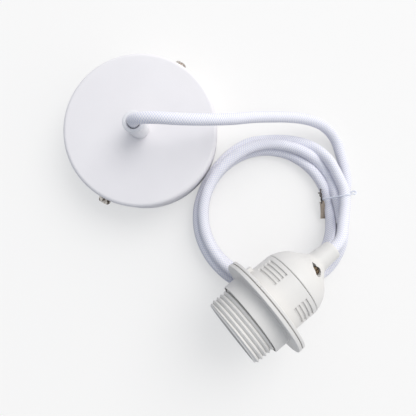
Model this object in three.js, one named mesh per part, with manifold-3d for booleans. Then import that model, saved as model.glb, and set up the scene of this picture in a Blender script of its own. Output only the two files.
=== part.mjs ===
// A pendant cord set lying on a table: ceiling rose, textile cord in a tied coil, and a screw lamp holder.
// Millimetres, +Z up. The origin is the centre of the rose's ceiling side, and the table is the plane z = 0.
// The lamp holder's axis runs along +X, mouth to neck, tipped neck-down because it lies across the coil.
import * as THREE from "three";
import { mergeVertices } from "three/addons/utils/BufferGeometryUtils.js";
import Module from "manifold-3d";

const wasm = await Module();
wasm.setup();

// Clearance left between pieces that touch or fit in each other.
const fitGap = 0.3;

// Facets round the large turned pieces.
const roseFacets = 48;
const holderFacets = 36;

// Ceiling rose: a pressed steel dish, open towards the ceiling.
const roseRadius = 45;
const roseHeight = 25;
const roseWall = 1;
const roseEdgeRadius = 2.4;

// Strap inside the rose, and the two side screws that hold the rose to it.
const strapAngle = THREE.MathUtils.degToRad(23);
const strapWidth = 14;
const strapThickness = 1.5;
const strapReach = roseRadius - 3;
const sideScrewHeight = 15;
const strapTabHeight = sideScrewHeight + 5;
const sideScrewRadius = 1.8;
const sideScrewHeadRadius = 3.7;
const sideScrewHeadHeight = 3;
const ceilingSlotInner = 26;
const ceilingSlotOuter = 36;
const ceilingSlotWidth = 4.6;

// Textile cord and its two insulated cores.
const cordDiameter = 6.4;
const cordRadius = cordDiameter / 2;
const coreRadius = 1.2;
const boreClearance = 0.4;
const boreRadius = cordRadius + boreClearance;

// Plastic grip on the rose, its threaded stem and nut.
const gripWall = 2.3;
const gripRadius = boreRadius + gripWall;
const gripFootWall = 1.9;
const gripFootRadius = boreRadius + gripFootWall;
const gripHeight = 20;
const gripLipHeight = 2.6;
const gripLipWidth = 0.2;
const stemWall = 0.9;
const stemRadius = boreRadius + stemWall;
const stemLength = 9.5;
const nutAcrossFlats = 14;
const nutHeight = 3.6;
const gripScrewRadius = 1.5;
const gripScrewStandsOut = 0.4;

// Terminal block lying on the strap.
const blockLength = 16;
const blockWidth = 18;
const blockHeight = 11;
const blockOffset = 15;
const poleOffset = 4.5;
const blockScrewOffset = 4;
const blockScrewRadius = 1.5;
const blockScrewLength = 4;
const blockScrewClearance = 0.4;
const setScrewSlot = 0.6;
const terminalHoleRadius = coreRadius + 0.4;

// Coil: three turns, two lying side by side and one in the groove between them.
const coilInnerRadius = 36.6;
const bundleAtRose = 9.1;
const coilDirection = THREE.MathUtils.degToRad(-70.4);
const coilDistance = roseRadius + bundleAtRose + coilInnerRadius;
const coilCentre = new THREE.Vector2(
  coilDistance * Math.cos(coilDirection),
  coilDistance * Math.sin(coilDirection),
);
const innerStrand = new THREE.Vector2(coilInnerRadius + cordRadius, cordRadius);
const outerStrand = new THREE.Vector2(innerStrand.x + cordDiameter, cordRadius);
const topStrand = new THREE.Vector2(innerStrand.x + cordRadius, cordRadius + cordDiameter * Math.sin(Math.PI / 3));
const coilOuterRadius = outerStrand.x + cordRadius;
const coilHeight = topStrand.y + cordRadius;

// Lamp holder, with distances measured along its axis from the rim of the mouth.
const holderTilt = THREE.MathUtils.degToRad(9);
const axisBeyondCoil = 36;
const mouthBehindCoil = 58.3;
const mouthHeight = 40.6;
const threadCrestRadius = 19.75;
const threadRootRadius = 18.6;
const threadPitch = 2.5;
const threadTurns = 7;
const skirtBoreRadius = 17.2;
const ringBack = 23;
const ringDiscThickness = 2.1;
const collarFront = 12.1;
const collarRadius = 21.5;
const collarLip = 0.6;
const collarLeadIn = 1.6;
const bodyDiscThickness = 1.9;
const bodyDiscRadius = 28.8;
const ringStandsOut = 0.2;
const ringRadius = bodyDiscRadius + ringStandsOut;
const barrelRadius = 19.4;
const barrelWall = 2.2;
const barrelBoreRadius = barrelRadius - barrelWall;
const seam = 42.3;
const neckEnd = 73.4;
const neckTipRadius = 5.3;
const neckRootRadius = 6.4;
const neckRoot = 61;
const grooveDepth = 0.7;
const grooveWidth = 1.1;
const groovePitch = 2.4;
const groovesInGroup = 4;
const grooveGroups = 4;
const lastGrooveBeforeSeam = 3.1;
const grooveGroupTurn = THREE.MathUtils.degToRad(-49);
const grooveGroupSpan = THREE.MathUtils.degToRad(43);
const lugTurn = THREE.MathUtils.degToRad(-84);
const lugReach = 2.6;
const lugLength = 4.4;
const lugThickness = 3.2;
const notchTurn = THREE.MathUtils.degToRad(-32);

// Screw shell, its carrier and the contacts inside the holder.
const carrierFront = 32.3;
const carrierThickness = 4.4;
const carrierRadius = barrelBoreRadius - 0.4;
const postTop = carrierFront + carrierThickness + 6.3;
const postOffset = 9;
const postSize = new THREE.Vector2(7, 6);
const shellRadius = 13.6;
const shellWall = 0.5;
const shellFront = 7;
const shellPitch = 3.6;
const shellWave = 0.55;
const shellWaves = 5;
const ledgeRadius = shellRadius + shellWave + 1.2;

// Places of small pieces on the holder's neck, as turns about its axis from straight up.
const neckScrewTurn = THREE.MathUtils.degToRad(8);
const neckScrewPlace = 55.2;
const neckScrewRadius = 1.75;
const neckScrewLength = 4.6;
const neckHoleRadius = 2.5;
const neckHoleFloor = 7;
const cordEndInHolder = neckScrewPlace - 3.6;

// Tie round the coil.
const tieAngle = THREE.MathUtils.degToRad(-21);
const tieRadius = 0.6;

// Looks, for this model's own materials.
const looks = {
  whitePaint: { color: 0xecebf0, roughness: 0.55, metalness: 0 },
  whitePlastic: { color: 0xf1f0ee, roughness: 0.4, metalness: 0 },
  warmPlastic: { color: 0xe9e6e0, roughness: 0.45, metalness: 0 },
  textile: { color: 0xeeedf3, roughness: 0.9, metalness: 0 },
  zinc: { color: 0xb9b6b0, roughness: 0.35, metalness: 1 },
  nickel: { color: 0xc3c1bb, roughness: 0.28, metalness: 1 },
  brass: { color: 0xb08a4e, roughness: 0.35, metalness: 1 },
  liveSleeve: { color: 0x6b4226, roughness: 0.5, metalness: 0 },
  neutralSleeve: { color: 0x2f5f9e, roughness: 0.5, metalness: 0 },
  tie: { color: 0x8a7350, roughness: 0.45, metalness: 0.3 },
};

// Closed geometry as a solid that can be joined and cut.
function solidFrom(geometry) {
  const bare = geometry.clone();
  bare.deleteAttribute("normal");
  bare.deleteAttribute("uv");
  const merged = mergeVertices(bare, 1e-4);
  return new wasm.Manifold(
    new wasm.Mesh({
      numProp: 3,
      vertProperties: new Float32Array(merged.attributes.position.array),
      triVerts: new Uint32Array(merged.index.array),
    }),
  );
}

// A solid back as geometry.
function geometryFrom(solid) {
  const mesh = solid.getMesh();
  const positions = new Float32Array(mesh.numVert * 3);
  for (let i = 0; i < mesh.numVert; i += 1) {
    for (let k = 0; k < 3; k += 1) {
      positions[3 * i + k] = mesh.vertProperties[i * mesh.numProp + k];
    }
  }
  const geometry = new THREE.BufferGeometry();
  geometry.setAttribute("position", new THREE.BufferAttribute(positions, 3));
  geometry.setIndex(new THREE.BufferAttribute(new Uint32Array(mesh.triVerts), 1));
  geometry.computeVertexNormals();
  return geometry;
}

// The first geometry with all the others cut out of it.
function cut(geometry, ...tools) {
  let solid = solidFrom(geometry);
  for (const tool of tools) {
    solid = solid.subtract(solidFrom(tool));
  }
  return geometryFrom(solid);
}

// All the geometries joined into one.
function join(...geometries) {
  let solid = solidFrom(geometries[0]);
  for (const other of geometries.slice(1)) {
    solid = solid.add(solidFrom(other));
  }
  return geometryFrom(solid);
}

// A body of revolution about +Z from a closed outline of [radius, height] points.
function turned(outline, segments) {
  const points = [...outline, outline[0]].map(([radius, height]) => new THREE.Vector2(radius, height));
  return new THREE.LatheGeometry(points, segments).rotateX(Math.PI / 2);
}

// A bar of round section along +Z, from one height to another.
function roundBar(radius, from, to, segments = 24) {
  return new THREE.CylinderGeometry(radius, radius, to - from, segments)
    .rotateX(Math.PI / 2)
    .translate(0, 0, (from + to) / 2);
}

// A box between two corners.
function block(x0, x1, y0, y1, z0, z1) {
  return new THREE.BoxGeometry(x1 - x0, y1 - y0, z1 - z0).translate((x0 + x1) / 2, (y0 + y1) / 2, (z0 + z1) / 2);
}

// Points of an arc in an outline, both ends included.
function arcPoints(centreX, centreY, radius, fromDegrees, toDegrees, steps) {
  const points = [];
  for (let i = 0; i <= steps; i += 1) {
    const angle = THREE.MathUtils.degToRad(fromDegrees + ((toDegrees - fromDegrees) * i) / steps);
    points.push([centreX + radius * Math.cos(angle), centreY + radius * Math.sin(angle)]);
  }
  return points;
}

// A round tube or wire along a smooth curve through the points.
function alongRoute(points, radius, sides, steps) {
  const section = new THREE.Shape(
    Array.from({ length: sides }, (_, i) => {
      const angle = (2 * Math.PI * i) / sides;
      return new THREE.Vector2(radius * Math.cos(angle), radius * Math.sin(angle));
    }),
  );
  const curve = new THREE.CatmullRomCurve3(points, false, "centripetal");
  return new THREE.ExtrudeGeometry(section, { steps, bevelEnabled: false, extrudePath: curve });
}

// A screw along +Z: the head stands on z = 0 and the shank hangs below it.
function slottedScrew(headRadius, headHeight, shankRadius, shankLength, slotWidth) {
  const shoulder = headHeight * 0.45;
  const outline = [
    [0, -shankLength],
    [shankRadius, -shankLength],
    [shankRadius, 0],
    [headRadius, 0],
    [headRadius, shoulder],
    [headRadius * 0.93, headHeight * 0.78],
    [headRadius * 0.62, headHeight],
    [0, headHeight],
  ];
  const slotDepth = headHeight * 0.5;
  const slotFloor = headHeight - slotDepth;
  const slot = block(-2 * headRadius, 2 * headRadius, -slotWidth / 2, slotWidth / 2, slotFloor, 2 * headHeight);
  return cut(turned(outline, 24), slot);
}

// A headless set screw along +Z from z = 0 up, slotted at its top.
function setScrew(radius, length, slotWidth) {
  const slotFloor = length - slotWidth * 1.3;
  const slot = block(-2 * radius, 2 * radius, -slotWidth / 2, slotWidth / 2, slotFloor, 2 * length);
  return cut(roundBar(radius, 0, length, 16), slot);
}

function piece(name, geometry, look) {
  const mesh = new THREE.Mesh(geometry, new THREE.MeshStandardMaterial(looks[look]));
  mesh.name = name;
  return mesh;
}

// A point beside the coil's centre, given by its angle, its distance and its height.
function roundCoil(angle, radius, height) {
  return new THREE.Vector3(
    coilCentre.x + radius * Math.cos(angle),
    coilCentre.y + radius * Math.sin(angle),
    height,
  );
}

function makeRoseCover() {
  const inside = roseRadius - roseWall;
  const outline = [
    [inside, 0],
    [roseRadius, 0],
    ...arcPoints(roseRadius - roseEdgeRadius, roseHeight - roseEdgeRadius, roseEdgeRadius, 0, 90, 4),
    [stemRadius + fitGap, roseHeight],
    [stemRadius + fitGap, roseHeight - roseWall],
    ...arcPoints(
      roseRadius - roseEdgeRadius,
      roseHeight - roseEdgeRadius,
      roseEdgeRadius - roseWall,
      90,
      0,
      3,
    ),
  ];
  const screwHole = new THREE.CylinderGeometry(
    sideScrewRadius + 0.5,
    sideScrewRadius + 0.5,
    3 * roseRadius,
    16,
  )
    .rotateZ(Math.PI / 2)
    .rotateZ(strapAngle)
    .translate(0, 0, sideScrewHeight);
  return piece("rose_cover", cut(turned(outline, roseFacets), screwHole), "whitePaint");
}

function makeStrap() {
  const bar = block(-strapReach, strapReach, -strapWidth / 2, strapWidth / 2, 0, strapThickness);
  const tabs = [-1, 1].map((side) =>
    block(
      Math.min(side * strapReach, side * (strapReach - strapThickness)),
      Math.max(side * strapReach, side * (strapReach - strapThickness)),
      -strapWidth / 2,
      strapWidth / 2,
      0,
      strapTabHeight,
    ),
  );
  const tapped = new THREE.CylinderGeometry(sideScrewRadius + fitGap, sideScrewRadius + fitGap, 3 * roseRadius, 16)
    .rotateZ(Math.PI / 2)
    .translate(0, 0, sideScrewHeight);
  const slots = [-1, 1].map((side) =>
    join(
      block(
        Math.min(side * ceilingSlotInner, side * ceilingSlotOuter),
        Math.max(side * ceilingSlotInner, side * ceilingSlotOuter),
        -ceilingSlotWidth / 2,
        ceilingSlotWidth / 2,
        -1,
        strapThickness + 1,
      ),
      roundBar(ceilingSlotWidth / 2, -1, strapThickness + 1, 16).translate(side * ceilingSlotInner, 0, 0),
      roundBar(ceilingSlotWidth / 2, -1, strapThickness + 1, 16).translate(side * ceilingSlotOuter, 0, 0),
    ),
  );
  return piece("mounting_strap", cut(join(bar, ...tabs), tapped, ...slots), "zinc");
}

function makeSideScrew(name, side) {
  const headSeat = roseRadius + fitGap;
  const mesh = piece(
    name,
    slottedScrew(sideScrewHeadRadius, sideScrewHeadHeight, sideScrewRadius, headSeat - strapReach + 5, 0.9)
      .rotateY((side * Math.PI) / 2)
      .translate(side * headSeat, 0, sideScrewHeight),
    "nickel",
  );
  return mesh;
}

function makeGrip() {
  const top = roseHeight + gripHeight;
  const foot = roseHeight + fitGap;
  const outline = [
    [boreRadius, foot - stemLength],
    [stemRadius, foot - stemLength],
    [stemRadius, foot],
    [gripFootRadius, foot],
    [gripRadius - 2 * gripLipWidth, top - gripLipHeight],
    [gripRadius + gripLipWidth, top - gripLipHeight / 2],
    [gripRadius - gripLipWidth, top - gripLipHeight / 8],
    [gripRadius - gripWall / 3, top],
    [boreRadius + gripWall / 3, top],
    [boreRadius, top - gripLipHeight / 2],
  ];
  const screwHole = roundBar(gripScrewRadius + fitGap, 0, 2 * gripRadius, 16)
    .rotateX(-Math.PI / 2)
    .translate(0, 0, roseHeight + gripHeight / 2);
  return piece("rose_cord_grip", cut(turned(outline, 24), screwHole), "whitePlastic");
}

function makeGripScrew() {
  const from = cordRadius + fitGap;
  const geometry = setScrew(gripScrewRadius, gripFootRadius + gripScrewStandsOut - from, setScrewSlot)
    .translate(0, 0, from)
    .rotateX(-Math.PI / 2)
    .translate(0, 0, roseHeight + gripHeight / 2);
  return piece("rose_grip_screw", geometry, "nickel");
}

function makeGripNut() {
  const top = roseHeight - roseWall - fitGap;
  const hexagon = roundBar(nutAcrossFlats / Math.sqrt(3), top - nutHeight, top, 6);
  return piece("rose_grip_nut", cut(hexagon, roundBar(stemRadius + fitGap, 0, roseHeight, 24)), "zinc");
}

function makeTerminalBlock() {
  const foot = strapThickness + fitGap;
  const body = block(
    blockOffset - blockLength / 2,
    blockOffset + blockLength / 2,
    -blockWidth / 2,
    blockWidth / 2,
    foot,
    foot + blockHeight,
  );
  const waist = block(
    blockOffset - blockLength,
    blockOffset + blockLength,
    -0.8,
    0.8,
    foot + blockHeight / 2,
    foot + 2 * blockHeight,
  );
  const holes = [];
  for (const pole of [-1, 1]) {
    holes.push(
      new THREE.CylinderGeometry(terminalHoleRadius, terminalHoleRadius, 3 * blockLength, 12)
        .rotateZ(Math.PI / 2)
        .translate(blockOffset, pole * poleOffset, foot + blockHeight / 2),
    );
    for (const end of [-1, 1]) {
      holes.push(
        roundBar(blockScrewRadius + blockScrewClearance, foot + blockHeight / 2, foot + 2 * blockHeight, 12).translate(
          blockOffset + end * blockScrewOffset,
          pole * poleOffset,
          0,
        ),
      );
    }
  }
  return piece("terminal_block", cut(body, waist, ...holes), "whitePlastic");
}

function makeBlockScrew(name, pole, end) {
  const seat = strapThickness + fitGap + blockHeight / 2 + coreRadius + 0.6;
  const geometry = setScrew(blockScrewRadius, blockScrewLength, setScrewSlot);
  geometry.translate(blockOffset + end * blockScrewOffset, pole * poleOffset, seat);
  return piece(name, geometry, "nickel");
}

// A core of the cord inside the rose, from the end of the sheath into its hole in the block.
function makeRoseCore(name, pole, look) {
  const entry = strapThickness + fitGap + blockHeight / 2;
  const start = roseHeight - stemLength - 1.6;
  const face = blockOffset - blockLength / 2;
  const route = [
    new THREE.Vector3(0, pole * 1.6, start),
    new THREE.Vector3(0.2, pole * 2.2, start - 2.2),
    new THREE.Vector3(2, pole * 3.9, entry + 1.4),
    new THREE.Vector3(face - 1, pole * poleOffset, entry),
    new THREE.Vector3(face + 1.5, pole * poleOffset, entry),
  ];
  return piece(name, alongRoute(route, coreRadius, 8, 10), look);
}

function makeRose() {
  const rose = new THREE.Group();
  rose.add(makeRoseCover(), makeGrip(), makeGripScrew(), makeGripNut());
  const across = new THREE.Group();
  across.rotation.z = strapAngle;
  across.add(makeStrap());
  across.add(makeSideScrew("side_screw_right", 1), makeSideScrew("side_screw_left", -1));
  across.add(makeTerminalBlock());
  across.add(makeBlockScrew("block_screw_live_in", 1, -1), makeBlockScrew("block_screw_live_out", 1, 1));
  across.add(makeBlockScrew("block_screw_neutral_in", -1, -1), makeBlockScrew("block_screw_neutral_out", -1, 1));
  across.add(makeRoseCore("rose_live_core", 1, "liveSleeve"), makeRoseCore("rose_neutral_core", -1, "neutralSleeve"));
  rose.add(across);
  return rose;
}

// The holder's own frame: z along its axis from the mouth, x as near to up as its axis allows.
function placeHolder(group) {
  const along = new THREE.Vector3(Math.cos(holderTilt), 0, -Math.sin(holderTilt));
  const upward = new THREE.Vector3(Math.sin(holderTilt), 0, Math.cos(holderTilt));
  const sideways = new THREE.Vector3().crossVectors(along, upward);
  group.matrixAutoUpdate = false;
  group.matrix.makeBasis(upward, sideways, along);
  group.matrix.setPosition(coilCentre.x - mouthBehindCoil, coilCentre.y - axisBeyondCoil, mouthHeight);
}

// A point of the holder's frame, given in the frame of the whole set.
function fromHolder(x, y, z) {
  const probe = new THREE.Group();
  placeHolder(probe);
  return new THREE.Vector3(x, y, z).applyMatrix4(probe.matrix);
}

// The shallow grip grooves: arcs of a square ring, in groups round the barrel.
function grooveCutters() {
  const cutters = [];
  const first = seam - lastGrooveBeforeSeam - groovePitch * (groovesInGroup - 1);
  for (let group = 0; group < grooveGroups; group += 1) {
    const middle = grooveGroupTurn + (group * 2 * Math.PI) / grooveGroups;
    for (let row = 0; row < groovesInGroup; row += 1) {
      const arc = new THREE.Shape();
      const from = middle - grooveGroupSpan / 2;
      const to = middle + grooveGroupSpan / 2;
      arc.absarc(0, 0, barrelRadius + 2, from, to, false);
      arc.absarc(0, 0, barrelRadius - grooveDepth, to, from, true);
      cutters.push(
        new THREE.ExtrudeGeometry(arc, { depth: grooveWidth, bevelEnabled: false, curveSegments: 6 }).translate(
          0,
          0,
          first + row * groovePitch - grooveWidth / 2,
        ),
      );
    }
  }
  return cutters;
}

// The holder's body in one moulding: threaded skirt, disc and barrel.
function makeHolderBody() {
  const discFront = ringBack + fitGap;
  const discBack = discFront + bodyDiscThickness;
  const ridges = [];
  for (let turn = 0; turn < threadTurns; turn += 1) {
    const foot = 1 + turn * threadPitch;
    ridges.push([threadRootRadius, foot]);
    ridges.push([threadCrestRadius, foot + threadPitch / 2]);
  }
  const outline = [
    [skirtBoreRadius, 0],
    [threadRootRadius, 0],
    ...ridges,
    [threadRootRadius, 1 + threadTurns * threadPitch],
    [threadRootRadius, discFront],
    [bodyDiscRadius - 0.5, discFront],
    [bodyDiscRadius, discFront + 0.5],
    [bodyDiscRadius, discBack - 0.5],
    [bodyDiscRadius - 0.5, discBack],
    [barrelRadius, discBack],
    [barrelRadius, seam - 0.4],
    [barrelRadius - 0.4, seam],
    [barrelBoreRadius, seam],
    [barrelBoreRadius, carrierFront - fitGap],
    [ledgeRadius, carrierFront - fitGap],
    [ledgeRadius, carrierFront - fitGap - 2],
    [skirtBoreRadius, carrierFront - fitGap - 2],
  ];
  const lug = block(
    barrelRadius - barrelWall / 2,
    barrelRadius + lugReach,
    -lugThickness / 2,
    lugThickness / 2,
    discBack - fitGap,
    discBack + lugLength,
  );
  const notch = block(bodyDiscRadius - 1, bodyDiscRadius + 1, -0.8, 0.8, discFront - 1, discBack + 1);
  lug.rotateZ(lugTurn);
  notch.rotateZ(notchTurn);
  return piece("holder_body", cut(join(turned(outline, holderFacets), lug), notch, ...grooveCutters()), "warmPlastic");
}

function makeShadeRing() {
  const bore = threadCrestRadius + 0.35;
  const discFront = ringBack - ringDiscThickness;
  const outline = [
    [bore, collarFront + collarLeadIn + collarLip],
    [collarRadius - collarLip, collarFront + collarLeadIn],
    [collarRadius - collarLip, collarFront],
    [collarRadius - 0.25, collarFront],
    [collarRadius, collarFront + 0.25],
    [collarRadius, discFront],
    [ringRadius - 0.6, discFront],
    [ringRadius, discFront + 0.6],
    [ringRadius, ringBack - 0.4],
    [ringRadius - 0.4, ringBack],
    [bore, ringBack],
  ];
  return piece("shade_ring", turned(outline, holderFacets), "warmPlastic");
}

function makeHolderCap() {
  const shoulder = seam + fitGap;
  const spigotRadius = barrelBoreRadius - 0.35;
  const spigotFront = carrierFront + carrierThickness + 1.6;
  const wall = 1.9;
  const dome = [
    [barrelRadius - 0.4, shoulder],
    [barrelRadius - 0.2, shoulder + 0.5],
    [barrelRadius - 1, shoulder + 3.2],
    [barrelRadius - 2.2, shoulder + 6],
    [barrelRadius - 3.7, shoulder + 8.5],
    [barrelRadius - 5.8, shoulder + 10.9],
    [barrelRadius - 8.5, shoulder + 13.2],
    [neckRootRadius + 2.3, neckRoot - 2.7],
    [neckRootRadius + 0.6, neckRoot - 1],
  ];
  const inside = [
    [boreRadius, neckScrewPlace - 3],
    [neckHoleFloor, neckScrewPlace - 3],
    [barrelRadius - 7.5, shoulder + 7.6],
    [barrelRadius - 5, shoulder + 4.6],
    [spigotRadius - wall, shoulder],
  ];
  const outline = [
    [spigotRadius - wall, spigotFront],
    [spigotRadius, spigotFront],
    [spigotRadius, shoulder],
    ...dome,
    [neckRootRadius, neckRoot],
    [neckTipRadius + 0.2, neckEnd - 1],
    [neckTipRadius - 0.5, neckEnd],
    [boreRadius + 0.3, neckEnd],
    [boreRadius, neckEnd - 0.6],
    ...inside,
  ];
  const drop = new THREE.Shape();
  drop.absarc(0, 0, neckHoleRadius, THREE.MathUtils.degToRad(-140), THREE.MathUtils.degToRad(140), false);
  drop.lineTo(-neckHoleRadius * 2.1, neckHoleRadius * 0.5);
  const hole = new THREE.ExtrudeGeometry(drop, { depth: barrelRadius, bevelEnabled: false, curveSegments: 12 });
  hole.translate(0, 0, neckHoleFloor);
  hole.applyMatrix4(
    new THREE.Matrix4().makeBasis(
      new THREE.Vector3(0, 1, 0),
      new THREE.Vector3(0, 0, 1),
      new THREE.Vector3(1, 0, 0),
    ),
  );
  hole.translate(0, 0, neckScrewPlace).rotateZ(neckScrewTurn);
  const tapped = roundBar(neckScrewRadius + fitGap, 0, neckHoleFloor + 1, 16)
    .rotateY(Math.PI / 2)
    .translate(0, 0, neckScrewPlace)
    .rotateZ(neckScrewTurn);
  return piece("holder_cap", cut(turned(outline, holderFacets), hole, tapped), "warmPlastic");
}

function makeNeckScrew() {
  const from = cordRadius + fitGap;
  const geometry = setScrew(neckScrewRadius, neckScrewLength, 0.7)
    .translate(0, 0, from)
    .rotateY(Math.PI / 2)
    .translate(0, 0, neckScrewPlace)
    .rotateZ(neckScrewTurn);
  return piece("neck_grip_screw", geometry, "brass");
}

// Insulating disc with two posts, which carries the screw shell and both contacts.
function makeCarrier() {
  const back = carrierFront + carrierThickness;
  const disc = turned(
    [
      [0, carrierFront],
      [carrierRadius, carrierFront],
      [carrierRadius, back],
      [0, back],
    ],
    32,
  );
  const posts = [-1, 1].map((side) =>
    block(
      -postSize.x / 2,
      postSize.x / 2,
      side * postOffset - postSize.y / 2,
      side * postOffset + postSize.y / 2,
      back - 1,
      postTop,
    ),
  );
  const holes = [-1, 1].flatMap((side) => [
    roundBar(terminalHoleRadius, postTop - 4.4, postTop + 2, 12).translate(0, side * postOffset, 0),
    roundBar(1.5, 0, postSize.x, 12)
      .rotateY(Math.PI / 2)
      .translate(0, side * postOffset, postTop - 2.6),
  ]);
  return piece("contact_carrier", cut(join(disc, ...posts), ...holes), "whitePlastic");
}

function makeTerminalScrew(name, side) {
  const shank = postSize.x / 2 + fitGap - terminalHoleRadius;
  const geometry = slottedScrew(2, 1.6, 1.15, shank, 0.6)
    .rotateY(Math.PI / 2)
    .translate(postSize.x / 2 + fitGap, side * postOffset, postTop - 2.6);
  return piece(name, geometry, "nickel");
}

// A core of the cord inside the cap, from the end of the sheath into the top of its post.
function makeHolderCore(name, side, look) {
  const route = [
    new THREE.Vector3(0, side * 1.5, cordEndInHolder - 0.4),
    new THREE.Vector3(0, side * 2.3, cordEndInHolder - 2.2),
    new THREE.Vector3(0, side * 6.2, postTop + 4.6),
    new THREE.Vector3(0, side * postOffset, postTop + 2),
    new THREE.Vector3(0, side * postOffset, postTop - 3.6),
  ];
  return piece(name, alongRoute(route, coreRadius, 8, 10), look);
}

// Screw shell with a rolled thread, and a base with a round window for the centre contact.
function makeScrewShell() {
  const back = carrierFront - fitGap;
  const outer = [];
  for (let i = 0; i <= 2 * shellWaves; i += 1) {
    const wave = i % 2 === 0 ? shellWave : -shellWave;
    outer.push([shellRadius + wave, shellFront + (i * shellPitch) / 2]);
  }
  const inner = outer.map(([radius, height]) => [radius - shellWall, height]).reverse();
  const outline = [
    ...outer,
    [shellRadius, back],
    [8, back],
    [8, back - shellWall],
    [shellRadius - shellWall, back - shellWall],
    ...inner,
  ];
  return piece("screw_shell", turned(outline, 24), "nickel");
}

// Centre contact: a sprung tongue bent up from a foot that lies on the carrier.
function makeCentreContact() {
  const foot = carrierFront - fitGap;
  const strip = new THREE.Shape([
    new THREE.Vector2(-6.4, foot),
    new THREE.Vector2(-6.4, foot - 0.6),
    new THREE.Vector2(3.2, foot - 0.6),
    new THREE.Vector2(4.4, foot - 1.6),
    new THREE.Vector2(2.2, foot - 4.4),
    new THREE.Vector2(-2.4, foot - 5.2),
    new THREE.Vector2(-4.2, foot - 4.2),
    new THREE.Vector2(-4, foot - 5),
    new THREE.Vector2(-2.4, foot - 5.9),
    new THREE.Vector2(2.6, foot - 5),
    new THREE.Vector2(5.3, foot - 1.6),
    new THREE.Vector2(3.8, foot),
  ]);
  const geometry = new THREE.ExtrudeGeometry(strip, { depth: 5, bevelEnabled: false })
    .translate(0, 0, -2.5)
    .rotateX(Math.PI / 2);
  return piece("centre_contact", geometry, "brass");
}

function makeHolder() {
  const holder = new THREE.Group();
  placeHolder(holder);
  holder.add(makeHolderBody(), makeShadeRing(), makeHolderCap(), makeNeckScrew());
  holder.add(makeCarrier(), makeScrewShell(), makeCentreContact());
  holder.add(makeTerminalScrew("terminal_screw_live", 1), makeTerminalScrew("terminal_screw_neutral", -1));
  holder.add(makeHolderCore("holder_live_core", 1, "liveSleeve"));
  holder.add(makeHolderCore("holder_neutral_core", -1, "neutralSleeve"));
  return holder;
}

// The lead: up out of the grip, over in an arch, down to the table and along the outside of the coil.
function makeLead() {
  const top = roseHeight + gripHeight;
  const rise = [
    new THREE.Vector3(0, 0, roseHeight - stemLength - 1.2),
    new THREE.Vector3(0, 0, roseHeight),
    new THREE.Vector3(0, 0, top),
    new THREE.Vector3(0.5, -0.4, top + 3.4),
    new THREE.Vector3(3.7, -3.1, top + 8.2),
    new THREE.Vector3(9.8, -8.2, top + 10.4),
    new THREE.Vector3(18.8, -15.8, top + 9.4),
    new THREE.Vector3(30.3, -23.7, top + 4.4),
    new THREE.Vector3(42, -30.4, top - 3),
  ];
  const arch = [
    [23.7, 49.4, 30.3],
    [33.8, 43.9, 23.3],
    [44.1, 37.5, 16.8],
    [52.7, 30.6, 11.3],
    [58.6, 23.3, 7.1],
    [61.2, 16.2, 3.8],
    [61.3, 9.6, 1.6],
    [59.3, 2.8, 0.5],
    [56, -5.5, 0],
    [51.6, -13.5, 0],
  ].map(([x, y, lift]) => new THREE.Vector3(coilCentre.x + x, coilCentre.y + y, cordRadius + lift));
  const beside = [-25, -35, -45].map((degrees) =>
    roundCoil(THREE.MathUtils.degToRad(degrees), coilOuterRadius + fitGap + cordRadius, cordRadius),
  );
  return piece("cord_lead", alongRoute([...rise, ...arch, ...beside], cordRadius, 10, 40), "textile");
}

// The coil's outer shape as one ring, giving way to the rose beside it and the holder lying on it.
function makeCoil() {
  const outline = [
    ...arcPoints(innerStrand.x, innerStrand.y, cordRadius, 150, 270, 4),
    ...arcPoints(outerStrand.x, outerStrand.y, cordRadius, 270, 390, 4),
    ...arcPoints(topStrand.x, topStrand.y, cordRadius, 30, 150, 4),
  ];
  const ring = turned(outline, holderFacets).translate(coilCentre.x, coilCentre.y, 0);
  const roseRoom = roundBar(roseRadius + fitGap, -1, coilHeight + 1, roseFacets);
  const holderRoom = new THREE.Group();
  placeHolder(holderRoom);
  const discRoom = roundBar(ringRadius + fitGap, -ringBack, ringBack + 2 * fitGap + bodyDiscThickness, holderFacets);
  const barrelRoom = roundBar(barrelRadius + fitGap, ringBack, seam + 4, holderFacets);
  discRoom.applyMatrix4(holderRoom.matrix);
  barrelRoom.applyMatrix4(holderRoom.matrix);
  return piece("cord_coil", cut(ring, roseRoom, discRoom, barrelRoom), "textile");
}

// The tail: off the top of the coil, up to the holder's neck and on to the end of the sheath inside it.
function makeTail() {
  const onCoil = coilHeight + fitGap + cordRadius;
  const neck = fromHolder(0, 0, neckEnd);
  const route = [
    roundCoil(THREE.MathUtils.degToRad(-28), topStrand.x + 2.4, onCoil),
    roundCoil(THREE.MathUtils.degToRad(-38), topStrand.x + 0.4, onCoil + 2.4),
    new THREE.Vector3(neck.x + 14.2, neck.y + 5.2, neck.z - 7.2),
    new THREE.Vector3(neck.x + 7.2, neck.y + 1.2, neck.z - 2.3),
    fromHolder(0, 0, neckEnd + 1),
    fromHolder(0, 0, neckRoot + 4),
    fromHolder(0, 0, cordEndInHolder),
  ];
  return piece("cord_tail", alongRoute(route, cordRadius, 10, 12), "textile");
}

// Wire tie over the bundle, its twisted tail lying along the inside of the coil.
function makeTie() {
  const outside = coilOuterRadius + fitGap + cordDiameter;
  const route = [
    [0, outside + 1.1, 1],
    [0, outside + 1.2, 5],
    [0, outside - 1.4, cordDiameter + 2],
    [0, topStrand.x + 5, coilHeight + 1.4],
    [0, topStrand.x - 1, coilHeight + 1.6],
    [0, innerStrand.x - 2.2, coilHeight - 0.6],
    [-1, coilInnerRadius - 1.6, cordDiameter + 1],
    [-4, coilInnerRadius - 2, cordDiameter - 1.4],
    [-12, coilInnerRadius - 2.2, 3.2],
    [-22, coilInnerRadius - 1.8, 2.2],
  ].map(([degrees, radius, height]) => roundCoil(tieAngle + THREE.MathUtils.degToRad(degrees), radius, height));
  return piece("wire_tie", alongRoute(route, tieRadius, 6, 30), "tie");
}

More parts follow.
